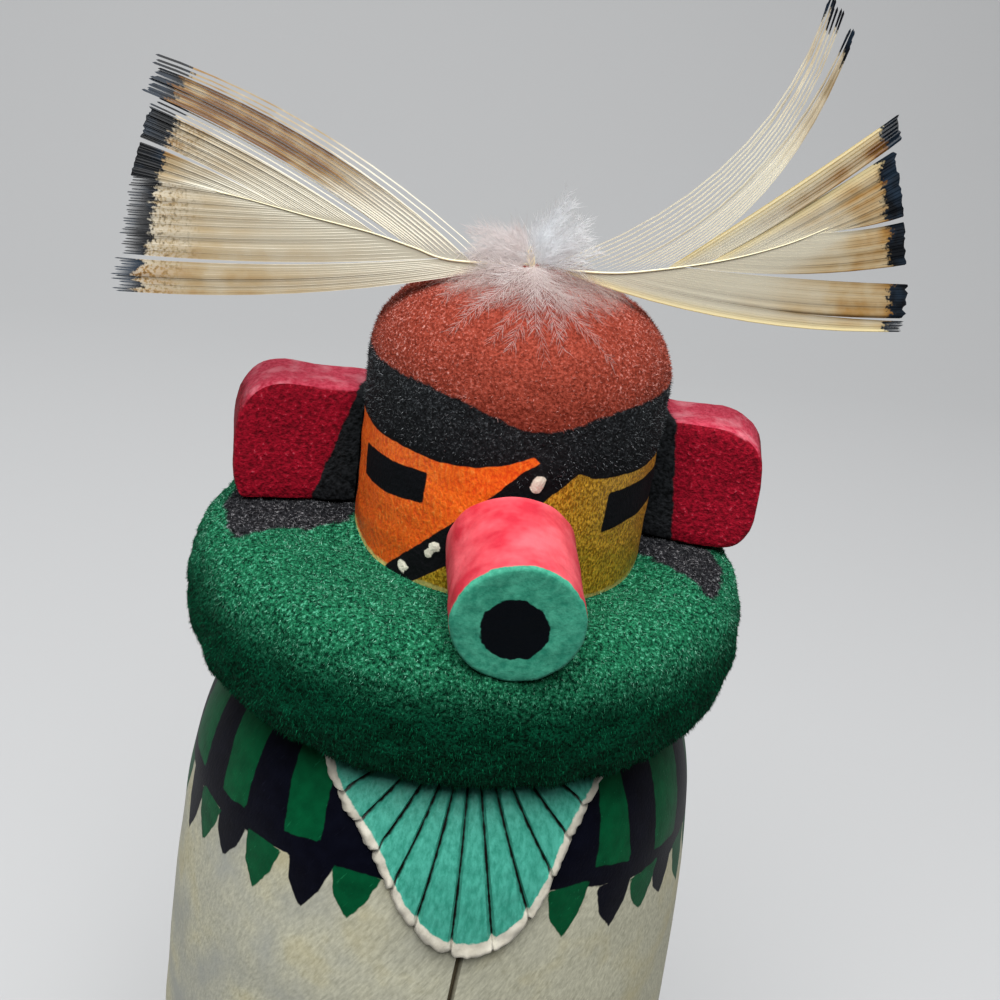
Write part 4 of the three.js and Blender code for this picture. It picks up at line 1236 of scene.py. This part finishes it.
feather("trimmed_feather_right", "feather_right",
        [(0, 0.4), (-9.8, -0.2), (-14.6, 0.8), (-19.6, 1.9), (-26.6, 2.9), (-33.5, 4.0), (-37.5, 4.5)],
        [
            dict(leaves=(0.14, 0.2), tips=[(-45.6, 18.8), (-45.2, 17.6)], bows=[(0, 2.6), (0, 2.4)],
                 count=3, film=0, tint=0.7, black=4.2, lift=0.3, width=1.5, browns=(0.35, 0.7)),
            dict(leaves=(0.2, 0.4), tips=[(-44.9, 17.2), (-46.2, 14.6)], bows=[(0, 2.2), (0, 1.3)],
                 count=11, film=0.45, tint=1.3, black=2.9, lift=0.2, width=1.5, browns=(0.25, 0.55),
                 teeth=1),
            dict(leaves=(0.4, 0.5), tips=[(-44.7, 14.1), (-45.3, 13.2)], bows=[(0, 0.9), (0, 0.8)], count=3,
                 film=0, tint=0.3, black=3.2, width=1.2),
            dict(leaves=(0.5, 0.78), tips=[(-45.4, 12.9), (-46.1, 9.5)], bows=[(0, 0.8), (0, 0.42)],
                 count=18, film=0.8, tint=0.6, black=3.1, frost=0.6, width=0.9, browns=(0.3, 0.9)),
            dict(leaves=(0.78, 0.99), tips=[(-46.2, 8.9), (-46.9, 5.2)], bows=[(0, 0.4), (0, 0.0)],
                 count=12, film=0.9, tint=0.75, black=3.1, width=0.9, browns=(0.4, 0.9)),
            dict(leaves=(0.97, 0.3), tips=[(-46.9, 5.0), (-48.1, -3.6)], bows=[(0, 0.3), (0, -0.75)],
                 count=27, film=0.97, tint=0.5, black=2.9, frost=0.9, width=0.75, browns=(0.1, 0.9),
                 teeth=2.2, ragged=1.6),
            dict(leaves=(0.29, 0.06), tips=[(-48.5, -4.2), (-48.8, -8)], bows=[(0, -0.75), (0, -1.7)],
                 count=12, film=0.95, tint=0.62, black=2.6, frost=0.8, width=0.8, browns=(0.2, 0.9),
                 teeth=1.8, ragged=1.6),
        ], 11)
feather("trimmed_feather_left", "feather_left",
        [(0, 0.2), (7.8, 0.3), (13.6, 1.2), (22.3, 3.4), (29.3, 6), (34.3, 8.6)],
        [
            dict(leaves=(0.02, 0.22), tips=[(30.5, 35.3), (32.4, 33.5)], bows=[(5.6, -2.9), (4.1, -3.2)],
                 count=8, film=0, tint=0.3, black=2.6, ragged=2, lift=0.3, width=1.6, browns=(0.6, 1)),
            dict(leaves=(0.245, 0.42), tips=[(33.7, 31.8), (33.6, 29.6)], bows=[(3.2, -2.5), (2.3, -2.6)],
                 count=9, film=0, tint=0.5, black=2.6, ragged=2, lift=0.1, width=1.6, browns=(0.55, 1)),
            dict(leaves=(0.435, 0.56), tips=[(40.6, 22.4), (41.3, 19.8)], bows=[(0, -0.3), (0, -0.8)],
                 count=8, film=0.6, tint=0.9, black=2.2, lift=0.2, width=1.4, browns=(0.3, 0.9), pale=0),
            dict(leaves=(0.58, 0.97), tips=[(40.9, 18.3), (43.2, 11)], bows=[(0, -0.2), (0, -0.4)],
                 count=20, film=0.95, tint=1.0, black=2.1, browns=(0.25, 0.95), pale=0),
            dict(leaves=(0.95, 0.5), tips=[(43.3, 10.2), (44.4, 5.4)], bows=[(0, -0.3), (0, -1.0)],
                 count=14, film=0.97, tint=0.95, black=2.1, width=0.8, browns=(0.35, 0.95)),
            dict(leaves=(0.48, 0.2), tips=[(45.1, 3), (45.3, -1)], bows=[(0, -0.3), (0, -1.4)], count=14,
                 film=0.97, tint=0.85, black=2.1, width=0.7, browns=(0.4, 1)),
            dict(leaves=(0.19, 0.06), tips=[(45.2, -1.4), (45.3, -2.6)], bows=[(0, -1.15), (0, -2.1)],
                 count=6, film=0.97, tint=0.7, black=2.1, width=0.8, browns=(0.45, 1), pale=1, teeth=2),
        ], 12)

# Down feather: one soft white plume tied over the quills, with loose plumes that stand up behind
# it and fan out over the crown's front. Its own short quill shows yellow in the middle.
DOWN_SEED = 5
HAIR_LEVELS = 5

chance = np.random.default_rng(DOWN_SEED)


def crown_place(x_angle, distance, lift):
    """Places above the crown, by degrees round the head, distance from its axis and lift."""
    x_angle = np.radians(x_angle)
    high = np.interp(distance, crown_line[::-1, 0], crown_line[::-1, 1])
    return np.stack([HEAD_LEFT + distance * np.sin(x_angle), -HEAD_FORWARD - distance * np.cos(x_angle),
                     ruff_level + high + lift], axis=-1)


def lay(lines, width, facing, white, sides=3, slot=0):
    """Adds one set of closed rods to the down feather, with their whiteness."""
    corners, faces, *_ = strands(lines, width, width, sides, np.asarray(facing, float))
    parts.append({"corners": corners, "faces": faces, "slot": slot, "marks": {"down": white}})


def plume(line, facing, hair_count, hair_length, lean, white, stray=0.24, fine=1.0):
    """A fine stem along a line, with hairs that leave it on both sides and sweep towards its tip."""
    share = np.linspace(0, 1, len(line))
    lay(line[None], fine * np.interp(share, [0, 1], [0.07, 0.03])[None], facing, white)
    at_share = np.sort(chance.uniform(0.06, 0.97, hair_count))
    base = np.column_stack([np.interp(at_share, share, line[:, k]) for k in range(3)])
    run = np.gradient(line, axis=0)
    run = np.column_stack([np.interp(at_share, share, run[:, k]) for k in range(3)])
    run /= np.linalg.norm(run, axis=1, keepdims=True)
    beside = np.cross(run, facing)
    beside /= np.linalg.norm(beside, axis=1, keepdims=True)
    beside *= np.where(np.arange(hair_count) % 2, 1, -1)[:, None]
    size = hair_length * (1 - 0.5 * at_share) * chance.uniform(0.4, 1.35, hair_count)
    open_angle = lean * chance.uniform(0.75, 1.25, hair_count)
    t = np.linspace(0, 1, HAIR_LEVELS)
    stray = chance.normal(0, stray, (hair_count, 3))
    lines = (base[:, None] + size[:, None, None] * (
        run[:, None] * (t * np.cos(open_angle)[:, None] + 0.25 * t**2)[..., None]
        + beside[:, None] * (t * np.sin(open_angle)[:, None] - 0.12 * t**2)[..., None]
        + stray[:, None] * (t**1.5)[None, :, None]))
    hair_width = fine * np.interp(t, [0, 0.5, 1], [0.034, 0.032, 0.012])
    lay(lines, np.repeat(hair_width[None], hair_count, axis=0), facing, white)


def down_quill(share):
    """Points down the feather's own short quill, from its top."""
    top = np.array([-1.1, 0.5, 2.7])
    foot = np.array([-0.4, -2.0, -0.5])
    return quill_foot + top + (foot - top) * np.reshape(share, (-1, 1))


parts = []
up_front = np.array([0.1, -1, 0.25])
t = np.linspace(0, 1, 8)[:, None]
# The sides of the plume: on each, how many barbs, their least and most rise, and their size
SIDES = [(-1, 16, -4, 30, 6.8), (-1, 8, -30, -4, 8.2), (1, 22, -12, 66, 7.0), (-1, 5, 35, 75, 2.6),
         (1, 5, 65, 90, 2.8)]
# The plumes on the doll's right side are noted less white, so they come out pinkish and fainter: painted
# shade
for side, count, lowest, highest, size in SIDES:
    for _ in range(count):
        rise = math.radians(chance.uniform(lowest, highest))
        long = size * chance.uniform(0.75, 1.15)
        start = down_quill(chance.uniform(0, 0.9))[0] + np.array([side * 0.3, chance.uniform(-0.5, 0.8), 0])
        heading = np.array([side * math.cos(rise), chance.uniform(-0.3, 0.3), math.sin(rise)])
        droop = np.array([0, 0, 0.12 * side - 0.04]) * long
        plume(start + heading * long * t + droop * t**2, up_front, 60, 2.2, 0.7, 0.75 + 0.25 * (side > 0))
t = np.linspace(0, 1, 10)
# The fan's longest plumes, by their ends' degrees round the head and distances from its axis
FAN = [(-39, 16.2), (-43, 13.3), (-20, 16.3), (-12, 16.5), (-2, 14), (3, 17), (10, 16.2), (11, 13.9),
       (32, 17.1), (31, 15.6), (31, 10.3), (36, 12.6), (-58, 12.5), (-66, 10.5), (52, 11.5), (-30, 12)]
for end_angle, reach_out in FAN:
    angles = -9 + (end_angle + 9) * t**0.7 + chance.uniform(-12, 12) * np.sin(np.pi * t)
    lift = 2.2 - 1.6 * t + 0.5 * np.sin(np.pi * t) + chance.uniform(-0.3, 0.3)
    line = crown_place(angles, 3.4 + (reach_out - 3.4) * t, lift)
    plume(line, (0, -0.5, 1), 100, 2.5, 0.75, chance.uniform(0.5, 0.9), stray=0.1, fine=0.65)

# A veil of loose hairs hangs between the barbs, over the crown's front
VEIL_HAIRS = 2600
spin = chance.uniform(-112, 104, VEIL_HAIRS)[:, None]
away = chance.uniform(2.5, 9.5, VEIL_HAIRS)[:, None]
long = chance.uniform(2, 4.2, VEIL_HAIRS)[:, None]
t = np.linspace(0, 1, HAIR_LEVELS)[None, :]
twist = chance.normal(0, 16, (VEIL_HAIRS, 1))
hover = np.clip(3.4 - away * 0.22, 0.4, 4) * chance.uniform(0.3, 1, (VEIL_HAIRS, 1))
lift = hover + chance.normal(0, 0.35, (VEIL_HAIRS, 1)) * t
lines = crown_place(spin + twist * t, away + long * t, np.maximum(lift - 0.5 * t, 0.15))
veil_width = np.interp(t[0], [0, 0.5, 1], [0.022, 0.026, 0.01])
lay(lines, np.repeat(veil_width[None], VEIL_HAIRS, axis=0), (0, -0.5, 1), 0.28)

# The quill is the barbs' own roots, laid together
QUILL_RODS = 18
QUILL_SPREAD = 0.45
for number in range(QUILL_RODS):
    out_by = QUILL_SPREAD * math.sqrt(number / (QUILL_RODS - 1))
    t = np.linspace(chance.uniform(-0.1, 0.35), chance.uniform(0.85, 1.3), 9)
    splay = np.interp(t, [0, 0.5, 1.3], [1.5, 0.9, 0.2])[:, None]
    aside = np.array([math.cos(2.4 * number), math.sin(2.4 * number), 0]) * out_by
    line = down_quill(t) + splay * aside
    thick = np.interp(t, [0, 0.3, 1.3], [0.02, 0.05, 0.05])
    lay(line[None], thick[None], (0, -1.0, 0.3), 0.0, sides=6, slot=1)

# Down, grown: bright white hairs so fine that light passes through; drawn twice their real width
down_white, tree = new_material("down hairs, white")
white = add(tree, "Attribute", out="Fac", attribute_name="down")
solid = add(tree, "MapRange", {"Value": white, "To Max": 0.85})
# Hairs noted less white are pinkish and fainter; on the plume's right side this is painted shade
colour = coats(tree, "#EFDDD6", (white, "#FDFEFF"))
thin_surface(tree, colour, {"Roughness": 0.6, "Specular IOR Level": 0.3}, 0.8, solid)
quill_horn, tree = new_material("down feather's quill, yellow horn")
spot = add(tree, "TexCoord", out="Object")
fleck = add(tree, "TexNoise", {"Vector": spot, "Scale": per(0.5), "Detail": 2.0})
surface(tree, coats(tree, "#DCC8A0", (fleck, "#F3E9D0")), {"Roughness": 0.5, "IOR": 1.54})
down = build("down_plumes", parts, [down_white, quill_horn])
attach(down, "root")
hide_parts("down_feather")

# Camera, floor and light: a phone's close view from above and in front, on a plain pale sheet that
# curves up behind, under one wide soft light from above and in front.
CAMERA_AT = (-14.13, -148.73, 255.10)
CAMERA_YAW = 0.113
CAMERA_PITCH = 0.438
CAMERA_ROLL = 0.142
FOCAL_PIXELS = 1278.59
IMAGE_SIZE = 1000
SENSOR = 36
LIGHT_AT = (-0.12, -0.56, 1.52)
LIGHT_AIM = (0, 0, 0.17)
LIGHT_SIZE = 1.3
LIGHT_POWER = 47
SHADOW_LIGHT = 0.05
SWEEP_FRONT = -0.1
SWEEP_BACK = 1.3
SWEEP_ROUND = 0.7

bpy.ops.object.select_all(action="DESELECT")
bpy.ops.mesh.primitive_grid_add(x_subdivisions=2, y_subdivisions=23, size=2)
floor = bpy.context.object
floor.name = "paper_sweep"
bow = np.radians(np.linspace(0, 90, 21))
curve = SWEEP_ROUND * np.column_stack([np.sin(bow) - 1, 1 - np.cos(bow)]) + (SWEEP_BACK, 0)
sweep = np.concatenate([[(SWEEP_FRONT, 0)], curve, [(SWEEP_BACK, 2), (SWEEP_BACK, 4)]])
spread = np.array([-4, 0, 4])
paper = np.stack(np.broadcast_arrays(spread[None, :], sweep[:, :1], sweep[:, 1:]), axis=-1)
floor.data.vertices.foreach_set("co", paper.ravel())
smooth(floor, 30)
plain, tree = new_material("plain pale paper")
surface(tree, "#BABBBC", {"Roughness": 0.95})
floor.data.materials.append(plain)

level_ahead = Vector((math.sin(CAMERA_YAW), math.cos(CAMERA_YAW), 0))
ahead = level_ahead * math.cos(CAMERA_PITCH) - Vector((0, 0, math.sin(CAMERA_PITCH)))
level_right = Vector((math.cos(CAMERA_YAW), -math.sin(CAMERA_YAW), 0))
level_up = level_right.cross(ahead)
right = level_right * math.cos(CAMERA_ROLL) + level_up * math.sin(CAMERA_ROLL)
up = level_up * math.cos(CAMERA_ROLL) - level_right * math.sin(CAMERA_ROLL)
bpy.ops.object.camera_add()
camera = bpy.context.object
turned = Matrix((right, up, -ahead)).transposed().to_4x4()
camera.matrix_world = Matrix.Translation(Vector(CAMERA_AT) * MM) @ turned
camera.data.sensor_width = SENSOR
camera.data.lens = FOCAL_PIXELS * SENSOR / IMAGE_SIZE
camera.data.clip_start = 0.01
bpy.context.scene.camera = camera

bpy.ops.object.light_add(type="AREA", location=LIGHT_AT)
lamp = bpy.context.object
lamp.data.size = LIGHT_SIZE
lamp.data.energy = LIGHT_POWER
lamp.rotation_euler = (Vector(LIGHT_AIM) - Vector(LIGHT_AT)).to_track_quat("-Z", "Y").to_euler()
world = bpy.data.worlds.new("studio")
bpy.context.scene.world = world
world.use_nodes = True
world.node_tree.nodes["Background"].inputs["Color"].default_value = linear("#E4E6EA")
world.node_tree.nodes["Background"].inputs["Strength"].default_value = SHADOW_LIGHT
bpy.context.scene.view_settings.view_transform = "Standard"
